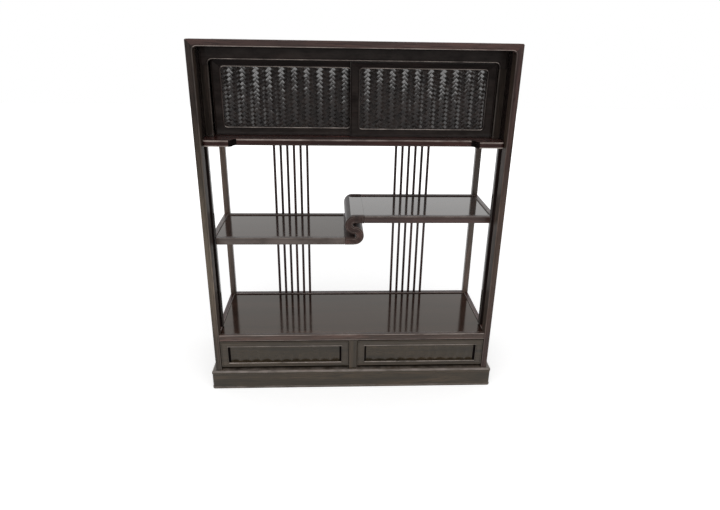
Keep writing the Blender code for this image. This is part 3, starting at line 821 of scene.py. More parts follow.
def mark_board(piece, worn_and_lit):
    """Gives a board its own place in the grain, and marks how far each face is paled by wear and painted
    highlight or darkened by painted shade.
    """
    mesh = piece.data
    board = mesh.attributes.new("board", "FLOAT", "FACE")
    rubbed = mesh.attributes.new("rubbed", "FLOAT", "FACE")
    shift = SEEDS.random()
    for face in mesh.polygons:
        board.data[face.index].value = shift
        rubbed.data[face.index].value = worn_and_lit(face)


def shade(piece, angle):
    """Smooth shading that keeps flat faces flat beside their rounded edges."""
    make_active(piece)
    bpy.ops.object.shade_smooth_by_angle(angle=math.radians(angle))
    apply_modifier(piece, "WEIGHTED_NORMAL", weight=100, keep_sharp=True)


def mount(piece, nodes):
    """The piece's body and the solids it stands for."""
    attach(piece, BODY_OF[nodes[0]])
    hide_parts(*nodes)


def finish_piece(piece, nodes, family, grain, worn_and_lit=rounded_edge):
    """Grain by face, smooth shading, and the piece's place on its body."""
    mesh = piece.data
    mesh.materials.clear()
    if callable(grain):
        # Slot w is the painted shade
        names = [f"{family}_x", f"{family}_y", f"{family}_z", "lacquer", "old_wax", "dull_z"]
        for name in names:
            mesh.materials.append(FINISHES[name])
        for face in mesh.polygons:
            face.material_index = "xyzlwd".index(grain(face))
    else:
        mesh.materials.append(FINISHES[f"{family}_{grain}"])
    mark_board(piece, worn_and_lit)
    shade(piece, 40)
    mount(piece, nodes)


# Operators, one for each piece or group of like pieces

class TEACABINET_OT_finishes(bpy.types.Operator):
    """Makes the finishes and puts them on the boards that keep their own shape"""
    bl_idname = "teacabinet.finishes"
    bl_label = "Finishes"

    def execute(self, context):
        colours = context.scene.tea_finishes
        families = (
            ("red", colours.red, 0.28, (0.20, 0.34), None),
            ("umber", colours.umber, 0.36, (0.22, 0.38), None),
            ("russet", colours.russet, 0.30, (0.22, 0.36), None),
            ("tawny", colours.tawny, 0.30, (0.22, 0.36), None),
            ("olive", colours.olive, 0.30, (0.22, 0.36), None),
            ("left_post", colours.left_post, 0.22, (0.22, 0.36), colours.left_post_light),
            ("right_post", colours.right_post, 0.22, (0.22, 0.36), colours.right_post_light),
            ("dark", colours.dark, 0.21, (0.12, 0.20), None),
            ("shaded", colours.shaded, 0.21, (0.14, 0.24), None),
            ("dull", colours.dull, 0.2, (0.55, 0.75), None),
            ("curl", colours.curl, 0.14, (0.35, 0.50), None),
        )
        for family, tint, gloss, rough, light_tint in families:
            for axis, letter in enumerate("xyz"):
                make_rosewood(f"{family}_{letter}", axis, colours, tint, gloss, rough, light_tint)
        make_lacquer("lacquer", colours, colours.pale_gloss, coat=0.5)
        make_lacquer("warm_lacquer", colours, colours.warm_gloss, coat=0.0)
        make_shade_finish(colours)
        make_splint("splint_rising", math.radians(45), colours)
        make_splint("splint_falling", math.radians(-45), colours)
        make_paulownia("paulownia_across", 0, colours)
        make_paulownia("paulownia_deep", 1, colours)
        plain = {
            "umber_x": ("plinth_back", "base_board", "drawer_bay_back"),
            "umber_y": ("drawer_bay_left_side", "drawer_bay_right_side"),
            "dark_x": ("case_back",),
            "dark_y": ("case_left_side", "case_right_side"),
            "lacquer": ("upper_shelf_panel",),
            "warm_lacquer": ("lower_shelf_panel", "deck_panel"),
            "paulownia_across": ("left_drawer_back", "left_drawer_bottom",
                                 "right_drawer_back", "right_drawer_bottom"),
            "paulownia_deep": ("left_drawer_left_side", "left_drawer_right_side",
                               "right_drawer_left_side", "right_drawer_right_side"),
        }
        for name, nodes in plain.items():
            for node in nodes:
                for place in frame["nodes"][node].material_slots:
                    place.material = FINISHES[name]
        return {"FINISHED"}


class TEACABINET_OT_plinth(bpy.types.Operator):
    """Moulded base with a bead at its top and its foot"""
    bl_idname = "teacabinet.plinth"
    bl_label = "Plinth"

    def execute(self, context):
        settings = context.scene.tea_mouldings
        front_low, front_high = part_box("plinth_front")
        right_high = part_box("plinth_right")[1]
        half = right_high.x
        inner = half - PLINTH_BOARD
        front = front_low.y
        back = right_high.y
        top = front_high.z
        upper = top - settings.plinth_top
        lower = settings.plinth_foot
        inset = settings.plinth_inset
        piece = add_block("moulded_plinth", (-half, front, 0.0), (half, back, top))

        def front_corner(edge):
            return runs_along(edge, 2) and edge.verts[0].co.y < front + TOUCH

        def outside(face):
            centre = face.calc_center_median()
            outward = face.normal.x * centre.x > SLIGHT or face.normal.y < -TURNED
            return outward and (abs(centre.x) > inner + TOUCH or centre.y < front + PLINTH_BOARD / 2)

        def on_face(face):
            return lower < face.calc_center_median().z < upper and outside(face)

        def outer_ring(edge, height):
            outer = any(outside(face) for face in edge.link_faces)
            return outer and at_height(edge, height) and is_arris(edge)

        round_edges(piece, settings.plinth_corner, front_corner, segments=8)
        hollow = add_block("hollow", (-inner, front + PLINTH_BOARD, -MARGIN),
                           (inner, back + MARGIN, top + MARGIN))
        apply_boolean(piece, hollow, "DIFFERENCE")
        begin_edit(piece)
        for height in (lower, upper):
            score(height * UP, UP)
        pick(piece, "FACE", on_face)
        sink_faces(inset, even=True)
        end_edit()
        rounds = (
            (top, settings.plinth_top * PLINTH_NOSE, 6),
            (upper, inset * PLINTH_BEAD, 3),
            (lower, inset * PLINTH_BEAD, 3),
            (0.0, inset * PLINTH_SOLE, 3),
        )
        for height, width, segments in rounds:
            round_edges(piece, width, lambda edge: outer_ring(edge, height), segments)

        def grain(face):
            return "x" if face.center.y < front + PLINTH_BOARD else "y"

        def worn_and_lit(face):
            # Painted highlights on the foot bead and the rounded top, painted light on the flat top
            if face.center.z < lower and face.normal.z > -UPRIGHT:
                return WEAR_LIGHT_SHADE["plinth_foot"]
            if face.normal.z < UPRIGHT:
                return 0.0
            return WEAR_LIGHT_SHADE["plinth_round"] if face.normal.z < FLAT else WEAR_LIGHT_SHADE["plinth_top"]

        finish_piece(piece, ("plinth_front", "plinth_left", "plinth_right"), "umber", grain, worn_and_lit)
        return {"FINISHED"}


class TEACABINET_OT_portal(bpy.types.Operator):
    """Frame round the whole front, beaded inside and mitred at its upper corners"""
    bl_idname = "teacabinet.portal"
    bl_label = "Portal"

    def execute(self, context):
        settings = context.scene.tea_mouldings
        left_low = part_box("portal_left_post")[0]
        rail_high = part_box("portal_top_rail")[1]
        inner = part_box("deck_front_rail")[1].x + FIT
        high_x = -left_low.x
        low = (-high_x, left_low.y, left_low.z)
        high = (high_x, rail_high.y, rail_high.z)
        window = Window((-inner, inner), (OPEN_FOOT, rail_high.z - (high_x - inner)), PORTAL_CORNER, False)
        rail = beaded_frame("beaded_top_rail", low, high, window, settings,
                            soft_corner=((-high_x, high_x), settings.outer_corner))
        left = duplicate(rail, "beaded_left_post")
        right = duplicate(rail, "beaded_right_post")
        seam = FIT * MITRE_GAP * UP
        for post, side in ((left, -1), (right, 1)):
            outward = side * ACROSS
            corner = Vector((side * high_x, 0.0, high[2]))
            trim(rail, corner, outward - UP)
            trim(post, ORIGIN, -outward)
            trim(post, corner - seam, UP - outward)
        worn_and_lit = bead_wear_and_highlight(window, low[1], settings)

        def post_grain(face):
            return "d" if face.normal.x * face.center.x < -FACING * abs(face.center.x) else "z"

        finish_piece(rail, ("portal_top_rail",), "russet", "x", worn_and_lit)
        finish_piece(left, ("portal_left_post",), "left_post", post_grain, worn_and_lit)
        finish_piece(right, ("portal_right_post",), "right_post", post_grain, worn_and_lit)
        return {"FINISHED"}


class TEACABINET_OT_posts(bpy.types.Operator):
    """Carcass posts with softened arrises, and the top board"""
    bl_idname = "teacabinet.posts"
    bl_label = "Posts and top"

    def execute(self, context):
        arris = context.scene.tea_mouldings.arris
        for place in ("front_left", "front_right", "rear_left", "rear_right"):
            node = f"{place}_post"
            piece = add_block(f"rounded_{node}", *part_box(node))
            round_edges(piece, arris * POST_EDGE, lambda edge: runs_along(edge, 2), segments=4)
            family = "olive" if place.startswith("rear") else "dark"
            finish_piece(piece, (node,), family, "z", lambda face: rounded_edge(face) * WEAR_LIGHT_SHADE["post_edge"])
        low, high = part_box("top_board")
        piece = add_block("rounded_top_board", low, high)

        def free_edge(edge):
            return is_arris(edge) and max(vert.co.y for vert in edge.verts) > low.y + TOUCH

        round_edges(piece, arris * TOP_EDGE, free_edge, segments=4)
        finish_piece(piece, ("top_board",), "dull", "x")
        return {"FINISHED"}


class TEACABINET_OT_case(bpy.types.Operator):
    """Header and stiles round the sliding doors, with one bead running round the opening"""
    bl_idname = "teacabinet.case"
    bl_label = "Upper case"

    def execute(self, context):
        settings = context.scene.tea_mouldings
        head_low, head_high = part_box("case_header")
        low = (head_low.x, head_low.y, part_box("case_left_stile")[0].z)
        high = (head_high.x, head_low.y + STILE_THICK, head_high.z)
        opening = head_high.x - CASE_STILE + FIT
        window = Window((-opening, opening), (OPEN_FOOT, head_low.z), CASE_CORNER, False)
        header = beaded_frame("beaded_header", low, high, window, settings)
        left = duplicate(header, "beaded_left_stile")
        right = duplicate(header, "beaded_right_stile")
        split = (head_low.z - CASE_CORNER - settings.bead) * UP
        trim(header, split, -UP)
        for stile, side in ((left, -1), (right, 1)):
            trim(stile, split - FIT * UP, UP)
            trim(stile, ORIGIN, -side * ACROSS)

        block = add_block("head_block", (head_low.x, high[1] + FIT, head_low.z), head_high)
        half = TONGUE_THICK / 2 + GROOVE_PLAY
        for node in ("left_door_frame", "right_door_frame"):
            door_low, door_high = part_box(node)
            middle = (door_low.y + door_high.y) / 2
            groove = add_block("groove", (-opening, middle - half, head_low.z - MARGIN),
                               (opening, middle + half, head_low.z + HEAD_GROOVE))
            apply_boolean(block, groove, "DIFFERENCE")
        header = join([header, block])
        worn_and_lit = bead_wear_and_highlight(window, low[1], settings)
        finish_piece(header, ("case_header",), "dark", "x", worn_and_lit)
        finish_piece(left, ("case_left_stile",), "shaded", "z", worn_and_lit)
        finish_piece(right, ("case_right_stile",), "shaded", "z", worn_and_lit)
        return {"FINISHED"}


class TEACABINET_OT_case_floor(bpy.types.Operator):
    """Floor board of the upper case, its ogees and ears edged by a bead"""
    bl_idname = "teacabinet.case_floor"
    bl_label = "Case floor"

    def execute(self, context):
        settings = context.scene.tea_mouldings
        low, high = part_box("case_floor")
        case_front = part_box("case_header")[0].y
        upper = high.z - settings.bead
        lower = low.z + settings.bead * LOWER_BEAD
        piece = copy_node("case_floor", "eared_case_floor")
        for height in (upper, lower):
            cut_quirk(piece, height, lambda item: ahead_of(item, case_front - settings.arris), settings)

        # The ogees take the painted shade
        def in_ogee(face):
            inward = face.normal.x * face.center.x < -INWARD * abs(face.center.x)
            return inward and face.center.y < case_front

        def worn_and_lit(face):
            # Painted light on the ears' tops and painted highlights along the beads
            ear = face.center.y < low.y + EAR_FRONT
            if face.center.y > case_front or in_ogee(face):
                return 0.0
            if face.normal.z > FLAT:
                return WEAR_LIGHT_SHADE["ear_top"] if ear else 0.0
            if face.center.z > upper:
                return WEAR_LIGHT_SHADE["ear_bead"] if ear else WEAR_LIGHT_SHADE["floor_upper_bead"]
            if face.center.z < lower:
                return WEAR_LIGHT_SHADE["ear_bead"] if ear else WEAR_LIGHT_SHADE["floor_lower_bead"]
            return 0.0

        finish_piece(piece, ("case_floor",), "red", lambda face: "w" if in_ogee(face) else "x", worn_and_lit)
        return {"FINISHED"}


class TEACABINET_OT_doors(bpy.types.Operator):
    """Two sliding doors, each a beaded frame round a woven panel"""
    bl_idname = "teacabinet.doors"
    bl_label = "Sliding doors"

    def execute(self, context):
        for side in ("left", "right"):
            self.build_frame(side, context.scene.tea_mouldings)
            self.build_woven_panel(side, context.scene.tea_work)
        return {"FINISHED"}

    def build_frame(self, side, settings):
        """Frame of one sliding door with its tongues and its rebate."""
        low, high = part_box(f"{side}_door_frame")
        panel_low, panel_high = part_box(f"{side}_door_panel")
        foot = low.z + FOOT_TONGUE
        head = high.z - HEAD_TONGUE
        window_x = (panel_low.x + DOOR_REBATE, panel_high.x - DOOR_REBATE)
        window_z = (panel_low.z + DOOR_REBATE, panel_high.z - DOOR_REBATE)
        window = Window(window_x, window_z, DOOR_CORNER, True)
        piece = beaded_frame(f"beaded_{side}_door", (low.x, low.y, foot), (high.x, high.y, head), window,
                             settings)
        rebate = add_block("rebate", panel_low - Vector((FIT, FIT, FIT)),
                           panel_high + Vector((FIT, MARGIN, FIT)))
        apply_boolean(piece, rebate, "DIFFERENCE")
        middle = (low.y + high.y) / 2
        for bottom, top in ((low.z, foot + DOOR_REBATE), (head - DOOR_REBATE, high.z)):
            tongue = add_block("tongue", (low.x + TONGUE_INSET, middle - TONGUE_THICK / 2, bottom),
                               (high.x - TONGUE_INSET, middle + TONGUE_THICK / 2, top))
            apply_boolean(piece, tongue, "UNION")

        def grain(face):
            upright = face.center.x < window_x[0] or face.center.x > window_x[1]
            return "z" if upright else "x"

        finish_piece(piece, (f"{side}_door_frame",), "dark", grain, bead_wear_and_highlight(window, low.y, settings))

    def build_splint(self, name, front, work):
        """One visible length of splint, crowned and tucked under at both ends."""
        reach = SPLINT_REACH * work.splint
        half = reach + work.tuck
        width = work.splint * SPLINT_FILL
        crown = half * work.crown
        piece = add_block(name, (-half, front, -width / 2), (half, front + work.splint_thick, width / 2))

        def sag(place):
            return math.hypot(place, crown) - crown

        def long_front_edge(edge):
            lengthwise = abs(edge.verts[1].co.x - edge.verts[0].co.x) > TOUCH
            in_front = any(face.normal.y < -TURNED for face in edge.link_faces)
            return lengthwise and in_front and is_arris(edge)

        begin_edit(piece)
        cuts = [share * reach for share in SPLINT_CUTS]
        for place in cuts:
            for side in (-1, 1):
                score(side * place * ACROSS, ACROSS)
        for place in cuts + [half]:
            pick(piece, "VERT", lambda vert: abs(abs(vert.co.x) - place) < TOUCH)
            bpy.ops.transform.translate(value=(0.0, work.dip * sag(place) / sag(half), 0.0))
        end_edit()
        round_edges(piece, work.splint_thick * SPLINT_EDGE, long_front_edge, segments=2)
        return piece

    def lean_splints(self, panel, points_each, unevenness):
        """Tilts every splint a little its own way, and every column together, as handwork does."""
        draw = random.Random(len(panel.name))
        points = panel.data.vertices
        column_lean = {}
        for first in range(0, len(points), points_each):
            splint = points[first:first + points_each]
            middle = sum((point.co for point in splint), Vector()) / points_each
            column = round(middle.x, 3)
            if column not in column_lean:
                column_lean[column] = draw.uniform(-unevenness, unevenness)
            upright = column_lean[column] + draw.uniform(-unevenness, unevenness)
            across = draw.uniform(-unevenness, unevenness)
            for point in splint:
                offset = point.co - middle
                point.co.y += offset.z * upright + offset.x * across

    def build_woven_panel(self, side, work):
        """A herringbone of splints, three over and three under, on a thin backing."""
        node = f"{side}_door_panel"
        low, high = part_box(node)
        column = 3 * work.splint / math.sqrt(2)
        pitch = work.splint * math.sqrt(2)
        rising = self.build_splint(f"woven_{side}_panel", low.y, work)
        faces_each = len(rising.data.polygons)
        points_each = len(rising.data.vertices)
        rising.data.materials.append(FINISHES["splint_rising"])
        falling = duplicate(rising, "falling")
        falling.data.materials.clear()
        falling.data.materials.append(FINISHES["splint_falling"])
        rows = math.ceil((high.z - low.z) / pitch) + 4
        pairs = math.ceil((high.x - low.x) / (2 * column)) + 2
        start = Vector((low.x - column / 2 - WEAVE_START[side], 0.0, low.z - 2 * pitch))
        beside = Vector((column, 0.0, pitch / 2))
        for piece, turn, place in ((rising, -45, start), (falling, 45, start + beside)):
            make_active(piece)
            piece.rotation_euler = (0.0, math.radians(turn), 0.0)
            piece.location = place
            bpy.ops.object.transform_apply(location=True, rotation=True, scale=True)
            repeat(piece, rows, (0.0, 0.0, pitch))
        panel = join([rising, falling])
        repeat(panel, pairs, (2 * column, 0.0, 0.0))

        tone = panel.data.attributes.new("board", "FLOAT", "FACE")
        shades = [SEEDS.random() for _ in range(len(panel.data.polygons) // faces_each)]
        for face in panel.data.polygons:
            tone.data[face.index].value = shades[face.index // faces_each]
        self.lean_splints(panel, points_each, work.unevenness)

        trim(panel, low.x * ACROSS, -ACROSS)
        trim(panel, high.x * ACROSS, ACROSS)
        trim(panel, low.z * UP, -UP)
        trim(panel, high.z * UP, UP)
        backing_y = low.y + work.dip + work.splint_thick * SPLINT_SHOWN
        backing = add_block("backing", (low.x, backing_y, low.z), high)
        backing.data.materials.append(FINISHES["dark_x"])
        panel = join([panel, backing])
        shade(panel, 50)
        mount(panel, (node,))


class TEACABINET_OT_shelves(bpy.types.Operator):
    """Rims of the staggered shelves and the S-shaped board between them"""
    bl_idname = "teacabinet.shelves"
    bl_label = "Staggered shelves"

    def execute(self, context):
        settings = context.scene.tea_mouldings
        self.build_rim("lower", "tawny", WEAR_LIGHT_SHADE["rim_face"], settings)
        self.build_rim("upper", "russet", 0.0, settings)
        self.build_s_board(settings)
        return {"FINISHED"}

    def build_rim(self, shelf, family, front_face_light, settings):
        node = f"{shelf}_shelf_frame"
        low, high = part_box(node)
        upper = high.z - settings.bead
        outer = max(abs(low.x), abs(high.x)) - SHELF_RIM
        piece = copy_node(node, f"beaded_{shelf}_rim")
        cut_quirk(piece, upper, lambda item: ahead_of(item, low.y + settings.quirk_depth), settings)

        def grain(face):
            return "y" if abs(face.center.x) > outer else "x"

        def worn_and_lit(face):
            # Painted highlights on the bead and edges, painted light on the lower rim's front face
            bead = face.center.z > upper and face.center.y < low.y + SHELF_RIM / 2
            if bead and face.normal.z < FLAT:
                return WEAR_LIGHT_SHADE["rim_bead"]
            if abs(face.center.x) > outer:
                return rounded_edge(face) * WEAR_LIGHT_SHADE["rim_side"]
            if face.normal.y < -FLAT:
                return max(front_face_light, rounded_edge(face) * WEAR_LIGHT_SHADE["rim_edge"])
            return rounded_edge(face) * WEAR_LIGHT_SHADE["rim_edge"]

        finish_piece(piece, (node,), family, grain, worn_and_lit)

    def build_s_board(self, settings):
        low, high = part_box("s_board")
        rim_low, rim_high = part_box("upper_shelf_frame")
        thick = rim_high.z - rim_low.z
        middle = (low.x + high.x) / 2
        upper = high.z - thick / 2
        lower = low.z + thick / 2
        radius = (upper - lower) / 4
        piece = add_block("curled_s_board", (middle, low.y, high.z - thick), high)
        begin_edit(piece)
        pick(piece, "FACE", lambda face: face.normal.x < -FACING)
        for height, turn in ((upper - radius, 1.0), (lower + radius, -1.0)):
            bpy.ops.mesh.spin(steps=24, angle=math.pi, center=(middle, 0.0, height), axis=(0.0, turn, 0.0))
        bpy.ops.mesh.extrude_region_move(TRANSFORM_OT_translate={"value": (low.x - middle, 0.0, 0.0)})
        bpy.ops.mesh.select_all(action="SELECT")
        bpy.ops.mesh.remove_doubles(threshold=WELD)
        bpy.ops.mesh.normals_make_consistent(inside=False)
        bead_and_quirk(piece, lambda face: face.normal.y < -FACING, settings)
        end_edit()

        def nose(edge):
            between_ends = all(low.x + TOUCH < vert.co.x < high.x - TOUCH for vert in edge.verts)
            return between_ends and is_arris(edge) and ahead_of(edge, low.y + TOUCH)

        round_edges(piece, settings.arris * SOFT_EDGE, nose)
        sink = add_block("sink", (middle - 3 * SHELF_SINK, low.y + SHELF_RIM, high.z - SHELF_SINK),
                         (high.x + MARGIN, high.y - SHELF_RIM, high.z + MARGIN))
        apply_boolean(piece, sink, "DIFFERENCE")

        def grain(face):
            sunk = abs(face.center.z - high.z + SHELF_SINK) < TOUCH and face.normal.z > FACING
            return "l" if sunk else "y"

        def worn_and_lit(face):
            # Painted shade on the curl's inward faces, painted highlight on its rounded front
            if face.center.y > low.y + settings.arris:
                return WEAR_LIGHT_SHADE["curl_hollow"] if face.normal.x < -CURL_INNER else 0.0
            rounded = CURL_FRONT[0] < -face.normal.y < CURL_FRONT[1]
            return WEAR_LIGHT_SHADE["curl_edge"] if rounded else 0.0

        finish_piece(piece, ("s_board",), "curl", grain, worn_and_lit)


class TEACABINET_OT_slats(bpy.types.Operator):
    """Twelve rounded slats at the back, modelled once and copied"""
    bl_idname = "teacabinet.slats"
    bl_label = "Slats"

    def execute(self, context):
        settings = context.scene.tea_mouldings
        first_low, first_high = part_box("left_slat_1")
        pattern = add_block("rounded_left_slat_1", first_low, first_high)
        round_edges(pattern, settings.stick, lambda edge: runs_along(edge, 2), segments=4)
        pieces = {"left_slat_1": pattern}
        for side in ("left", "right"):
            for number in range(1, 7):
                node = f"{side}_slat_{number}"
                if node not in pieces:
                    pieces[node] = duplicate(pattern, f"rounded_{node}")
                    pieces[node].data.transform(Matrix.Translation(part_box(node)[0] - first_low))
        for node, piece in pieces.items():
            finish_piece(piece, (node,), "red", "z", lambda face: 0.0)
        return {"FINISHED"}


class TEACABINET_OT_deck(bpy.types.Operator):
    """Rails round the deck over the drawers"""
    bl_idname = "teacabinet.deck"
    bl_label = "Deck rails"

    def execute(self, context):
        settings = context.scene.tea_mouldings
        for side in ("front", "back", "left", "right"):
            node = f"deck_{side}_rail"
            low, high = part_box(node)
            lower = low.z + settings.bead
            piece = add_block(f"beaded_{node}", low, high)
            along = 0 if side in ("front", "back") else 1
            round_edges(piece, settings.arris, lambda edge: runs_along(edge, along))

            def worn_and_lit(face):
                # Painted highlights on the edges and on the front rail's foot, painted shade on its lower
                # rounded edge
                if side != "front":
                    return rounded_edge(face) * WEAR_LIGHT_SHADE["rail_edge"]
                if face.center.z > lower:
                    return rounded_edge(face) * WEAR_LIGHT_SHADE["front_rail_edge"]
                return WEAR_LIGHT_SHADE["front_rail_shade"] if rounded_edge(face) else WEAR_LIGHT_SHADE["front_rail_foot"]

            family = "red"
            if side == "front":
                family = "tawny"
                limit = low.y + settings.quirk_depth
                for height in (high.z - settings.bead, lower):
                    cut_quirk(piece, height, lambda item: ahead_of(item, limit), settings)
            finish_piece(piece, (node,), family, "xy"[along], worn_and_lit)
        return {"FINISHED"}


class TEACABINET_OT_drawer_fronts(bpy.types.Operator):
    """Framed drawer fronts with a recess worked into upright adze hollows, and the stile between them"""
    bl_idname = "teacabinet.drawer_fronts"
    bl_label = "Drawer fronts"

    def execute(self, context):
        settings = context.scene.tea_mouldings
        for side in ("left", "right"):
            self.build_front(side, settings, context.scene.tea_work)
        self.build_partition(settings)
        return {"FINISHED"}

    def build_front(self, side, settings, work):
        node = f"{side}_drawer_front"
        low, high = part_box(node)
        window = Window((low.x + DRAWER_SIDE, high.x - DRAWER_SIDE),
                        (low.z + DRAWER_FOOT, high.z - DRAWER_TOP), RECESS_CORNER, True)
        inner_x = high.x if side == "left" else low.x
        piece = beaded_frame(f"framed_{node}", tuple(low), tuple(high), window, settings,
                             depth=DRAWER_RECESS, outer_quirk=True,
                             soft_corner=((inner_x,), DRAWER_CORNER), edge_share=DRAWER_EDGE)
        floor_y = low.y + DRAWER_RECESS
        self.work_hollows(piece, window, floor_y, work)
        bead = bead_wear_and_highlight(window, low.y, settings)

        def in_recess(face):
            return face.center.y > floor_y - DRAWER_RECESS / 2

        def grain(face):
            # Slot w is painted shade: the recess's side walls, its ends, and the rounded outer edges beside
            # the gaps
            gap = window.gap(face.center)
            if abs(face.normal.x) > SIDEWAYS and abs(gap) < settings.quirk:
                painted_dark = True
            elif in_recess(face):
                painted_dark = -END_STRIP < gap < 0.0 and face.normal.y < -TURNED
            else:
                painted_dark = gap > 2 * settings.bead and rounded_edge(face) > 0.0
            return "w" if painted_dark else "x"

        def worn_and_lit(face):
            if in_recess(face):
                return 0.0
            # Painted highlight on the bead over the recess
            on_bead = 0.0 < window.gap(face.center) < settings.bead and face.normal.y < -SQUARE
            if on_bead and face.center.z > window.z[1]:
                return WEAR_LIGHT_SHADE["recess_head"]
            return bead(face)

        finish_piece(piece, (node,), "umber", grain, worn_and_lit)

    def build_partition(self, settings):
        """The flared stile between the drawers, its front edges rounded and darkened with painted shade of
        the gaps.
        """
        low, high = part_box("drawer_partition")
        piece = copy_node("drawer_partition", "edged_partition")

        def front_side(edge):
            level = at_height(edge, low.z) or at_height(edge, high.z)
            return ahead_of(edge, low.y + TOUCH) and not level and is_arris(edge)

        round_edges(piece, settings.arris, front_side)

        def grain(face):
            return "w" if rounded_edge(face) and face.center.y < low.y + 2 * settings.arris else "z"

        finish_piece(piece, ("drawer_partition",), "umber", grain, lambda face: 0.0)

    def work_hollows(self, piece, window, floor_y, work):
        """Upright hollows of slightly different widths, cut deeper towards the foot of the recess."""
        draw = random.Random(len(piece.name))
        widths = [draw.uniform(*HOLLOW_WIDTHS) for _ in range(work.hollows)]
        scale = (window.x[1] - window.x[0]) / sum(widths)
        lines = []
        edge_x = window.x[0]
        for width in widths:
            depth = work.hollow_depth * draw.uniform(*HOLLOW_DEPTHS)
            for step in range(1, HOLLOW_STEPS + 1):
                place = edge_x + width * scale * step / HOLLOW_STEPS
                if place < window.x[1] - window.radius - TOUCH:
                    lines.append((place, depth * math.sin(math.pi * step / HOLLOW_STEPS)))
            edge_x += width * scale
        foot, head = window.z
        levels = [(foot + rise * (head - foot), share) for rise, share in HOLLOW_LEVELS]

        def on_floor(face):
            centre = face.calc_center_median()
            return window.gap(centre) < 0.0 and face.normal.y < -TURNED and centre.y > floor_y - TOUCH

        def cut(place, normal):
            pick(piece, "FACE", on_floor)
            bpy.ops.mesh.bisect(plane_co=place, plane_no=normal)

        begin_edit(piece)
        for place, depth in lines:
            cut(place * ACROSS, ACROSS)
        for height, share in levels[1:3]:
            cut(height * UP, UP)
        for place, depth in lines:
            for height, share in levels:
                self.sink(piece, place, height, floor_y, depth * share)
        end_edit()

    def sink(self, piece, place, height, floor_y, depth):
        if depth < TOUCH:
            return

        def at_place(vert):
            beside = abs(vert.co.x - place) < TOUCH and abs(vert.co.z - height) < TOUCH
            return beside and abs(vert.co.y - floor_y) < TOUCH

        pick(piece, "VERT", at_place)
        bpy.ops.transform.translate(value=(0.0, depth, 0.0))


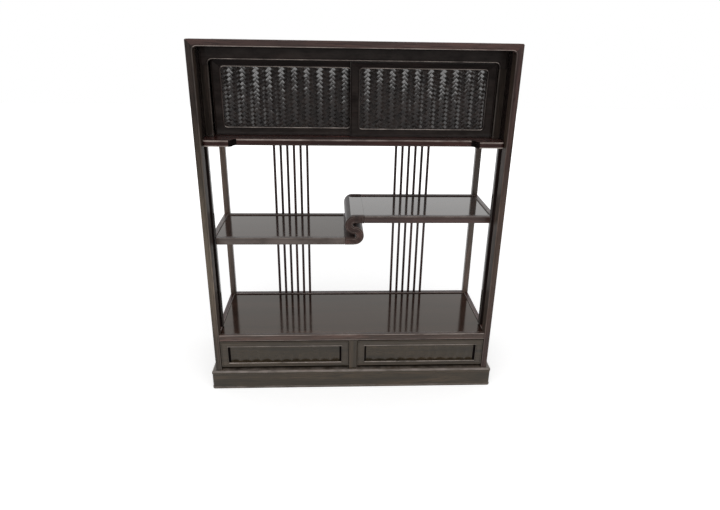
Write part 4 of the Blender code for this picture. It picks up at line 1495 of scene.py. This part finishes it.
class TEACABINET_OT_stage(bpy.types.Operator):
    """Pale floor, white surroundings, soft lights and the camera"""
    bl_idname = "teacabinet.stage"
    bl_label = "Stage"

    def execute(self, context):
        stage = context.scene.tea_stage
        self.add_floor()
        self.add_world(context.scene, stage)
        self.add_light("top_light", (0.0, -0.7, 3.0), (0.0, 0.1, 0.5), (2.6, 2.6), stage.top_power)
        self.add_light("front_light", (0.0, -3.6, 1.70), (0.0, 0.0, 1.70), (4.2, 0.50), stage.key_power)
        self.add_light("low_light", (0.0, -3.6, 1.195), (0.0, 0.0, 1.195), (4.2, 0.49), stage.low_power)
        self.add_flag("near_flag", place=-1.9, width=1.8, head=0.5, tone=0.45)
        self.add_flag("low_flag", place=-3.2, width=10.0, head=0.92, tone=0.01)
        self.add_flag("high_flag", place=-4.2, width=10.0, head=3.4, tone=0.01)
        self.add_camera(context.scene, stage)
        context.scene.view_settings.view_transform = "Standard"
        return {"FINISHED"}

    def shown_ray(self, tree):
        """One for the rays that show the surroundings: camera, glossy and transmission rays."""
        rays = add_node(tree, "ShaderNodeLightPath").outputs
        first = combine(tree, "MAXIMUM", rays["Is Camera Ray"], rays["Is Glossy Ray"])
        return combine(tree, "MAXIMUM", first, rays["Is Transmission Ray"])

    def add_plane(self, name, **values):
        """A plane with a finish of its own, and that finish's nodes."""
        clear_selection()
        bpy.ops.mesh.primitive_plane_add(**values)
        plane = bpy.context.object
        plane.name = name
        tree, shader = new_finish(name)
        plane.data.materials.append(FINISHES[name])
        return plane, tree, shader

    def add_floor(self):
        plane, tree, shader = self.add_plane("pale_floor", size=14.0)
        set_inputs(shader, {
            "Base Color": (0.86, 0.86, 0.86, 1.0), "Roughness": 0.9, "Specular IOR Level": 0.1,
            "Emission Color": (1.0, 1.0, 1.0, 1.0)})
        coordinate = add_node(tree, "ShaderNodeTexCoord")
        away = add_node(tree, "ShaderNodeVectorMath", operation="LENGTH")
        tree.links.new(coordinate.outputs["Object"], away.inputs[0])
        brighter = value_range(tree, away.outputs["Value"], (0.55, 1.0), (1.0, 3.0))
        glow = combine(tree, "MULTIPLY", brighter, self.shown_ray(tree))
        tree.links.new(glow, shader.inputs["Emission Strength"])

    def add_world(self, scene, stage):
        world = bpy.data.worlds.new("white_surroundings")
        scene.world = world
        world.use_nodes = True
        tree = world.node_tree
        background = tree.nodes["Background"]
        background.inputs["Color"].default_value = (1.0, 1.0, 1.0, 1.0)
        strength = value_range(tree, self.shown_ray(tree), (stage.sky, 1.0))
        tree.links.new(strength, background.inputs["Strength"])

    def add_flag(self, name, place, width, head, tone):
        """A grey or black card behind the camera, seen only in the polish of the front."""
        flag, tree, shader = self.add_plane(name, size=1.0, location=(0.0, place, head / 2),
                                            rotation=(math.pi / 2, 0.0, 0.0))
        bpy.ops.transform.resize(value=(width, 1.0, head))
        shader.inputs["Base Color"].default_value = (tone, tone, tone, 1.0)
        flag.visible_camera = False
        flag.visible_diffuse = False
        flag.visible_transmission = False
        flag.visible_volume_scatter = False
        flag.visible_shadow = False

    def add_light(self, name, place, target, size, power):
        clear_selection()
        bpy.ops.object.light_add(type="AREA", location=place)
        light = bpy.context.object
        light.name = name
        light.data.shape = "RECTANGLE"
        light.data.size = size[0]
        light.data.size_y = size[1]
        light.data.energy = power
        light.rotation_euler = (Vector(target) - Vector(place)).to_track_quat("-Z", "Y").to_euler()

    def add_camera(self, scene, stage):
        clear_selection()
        bpy.ops.object.camera_add()
        camera = bpy.context.object
        camera.name = "camera"
        camera.data.sensor_width = 36.0
        camera.data.lens = stage.lens
        level = math.cos(stage.pitch)
        forward = Vector((math.sin(stage.yaw) * level, math.cos(stage.yaw) * level, -math.sin(stage.pitch)))
        right = Vector((math.cos(stage.yaw), -math.sin(stage.yaw), 0.0))
        down = forward.cross(right)
        across = math.cos(stage.roll) * right + math.sin(stage.roll) * down
        below = -math.sin(stage.roll) * right + math.cos(stage.roll) * down
        placed = Matrix((across, -below, -forward)).transposed().to_4x4()
        portal_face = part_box("portal_top_rail")[0].y
        placed.translation = Vector((stage.sideways, portal_face - stage.distance, stage.height))
        camera.matrix_world = placed
        scene.camera = camera


OPERATORS = (
    TEACABINET_OT_finishes,
    TEACABINET_OT_plinth,
    TEACABINET_OT_portal,
    TEACABINET_OT_posts,
    TEACABINET_OT_case,
    TEACABINET_OT_case_floor,
    TEACABINET_OT_doors,
    TEACABINET_OT_shelves,
    TEACABINET_OT_slats,
    TEACABINET_OT_deck,
    TEACABINET_OT_drawer_fronts,
    TEACABINET_OT_stage,
)

SETTINGS = (
    ("tea_mouldings", MouldingSettings),
    ("tea_work", WorkSettings),
    ("tea_finishes", FinishSettings),
    ("tea_stage", StageSettings),
)


class TEACABINET_PT_panel(bpy.types.Panel):
    """Lists the steps that dress the cabinet"""
    bl_idname = "TEACABINET_PT_panel"
    bl_label = "Tea Cabinet"
    bl_space_type = "VIEW_3D"
    bl_region_type = "UI"
    bl_category = "Tea Cabinet"

    def draw(self, context):
        for operator in OPERATORS:
            self.layout.operator(operator.bl_idname)
        for name, group in SETTINGS:
            box = self.layout.box()
            for key in group.__annotations__:
                box.prop(getattr(context.scene, name), key)


def register():
    for name, group in SETTINGS:
        bpy.utils.register_class(group)
        setattr(bpy.types.Scene, name, PointerProperty(type=group))
    for operator in OPERATORS:
        bpy.utils.register_class(operator)
    bpy.utils.register_class(TEACABINET_PT_panel)


def unregister():
    bpy.utils.unregister_class(TEACABINET_PT_panel)
    for operator in reversed(OPERATORS):
        bpy.utils.unregister_class(operator)
    for name, group in reversed(SETTINGS):
        delattr(bpy.types.Scene, name)
        bpy.utils.unregister_class(group)


def main():
    register()
    bpy.ops.teacabinet.finishes()
    bpy.ops.teacabinet.plinth()
    bpy.ops.teacabinet.portal()
    bpy.ops.teacabinet.posts()
    bpy.ops.teacabinet.case()
    bpy.ops.teacabinet.case_floor()
    bpy.ops.teacabinet.doors()
    bpy.ops.teacabinet.shelves()
    bpy.ops.teacabinet.slats()
    bpy.ops.teacabinet.deck()
    bpy.ops.teacabinet.drawer_fronts()
    bpy.ops.teacabinet.stage()
    clear_selection()


if __name__ == "__main__":
    main()
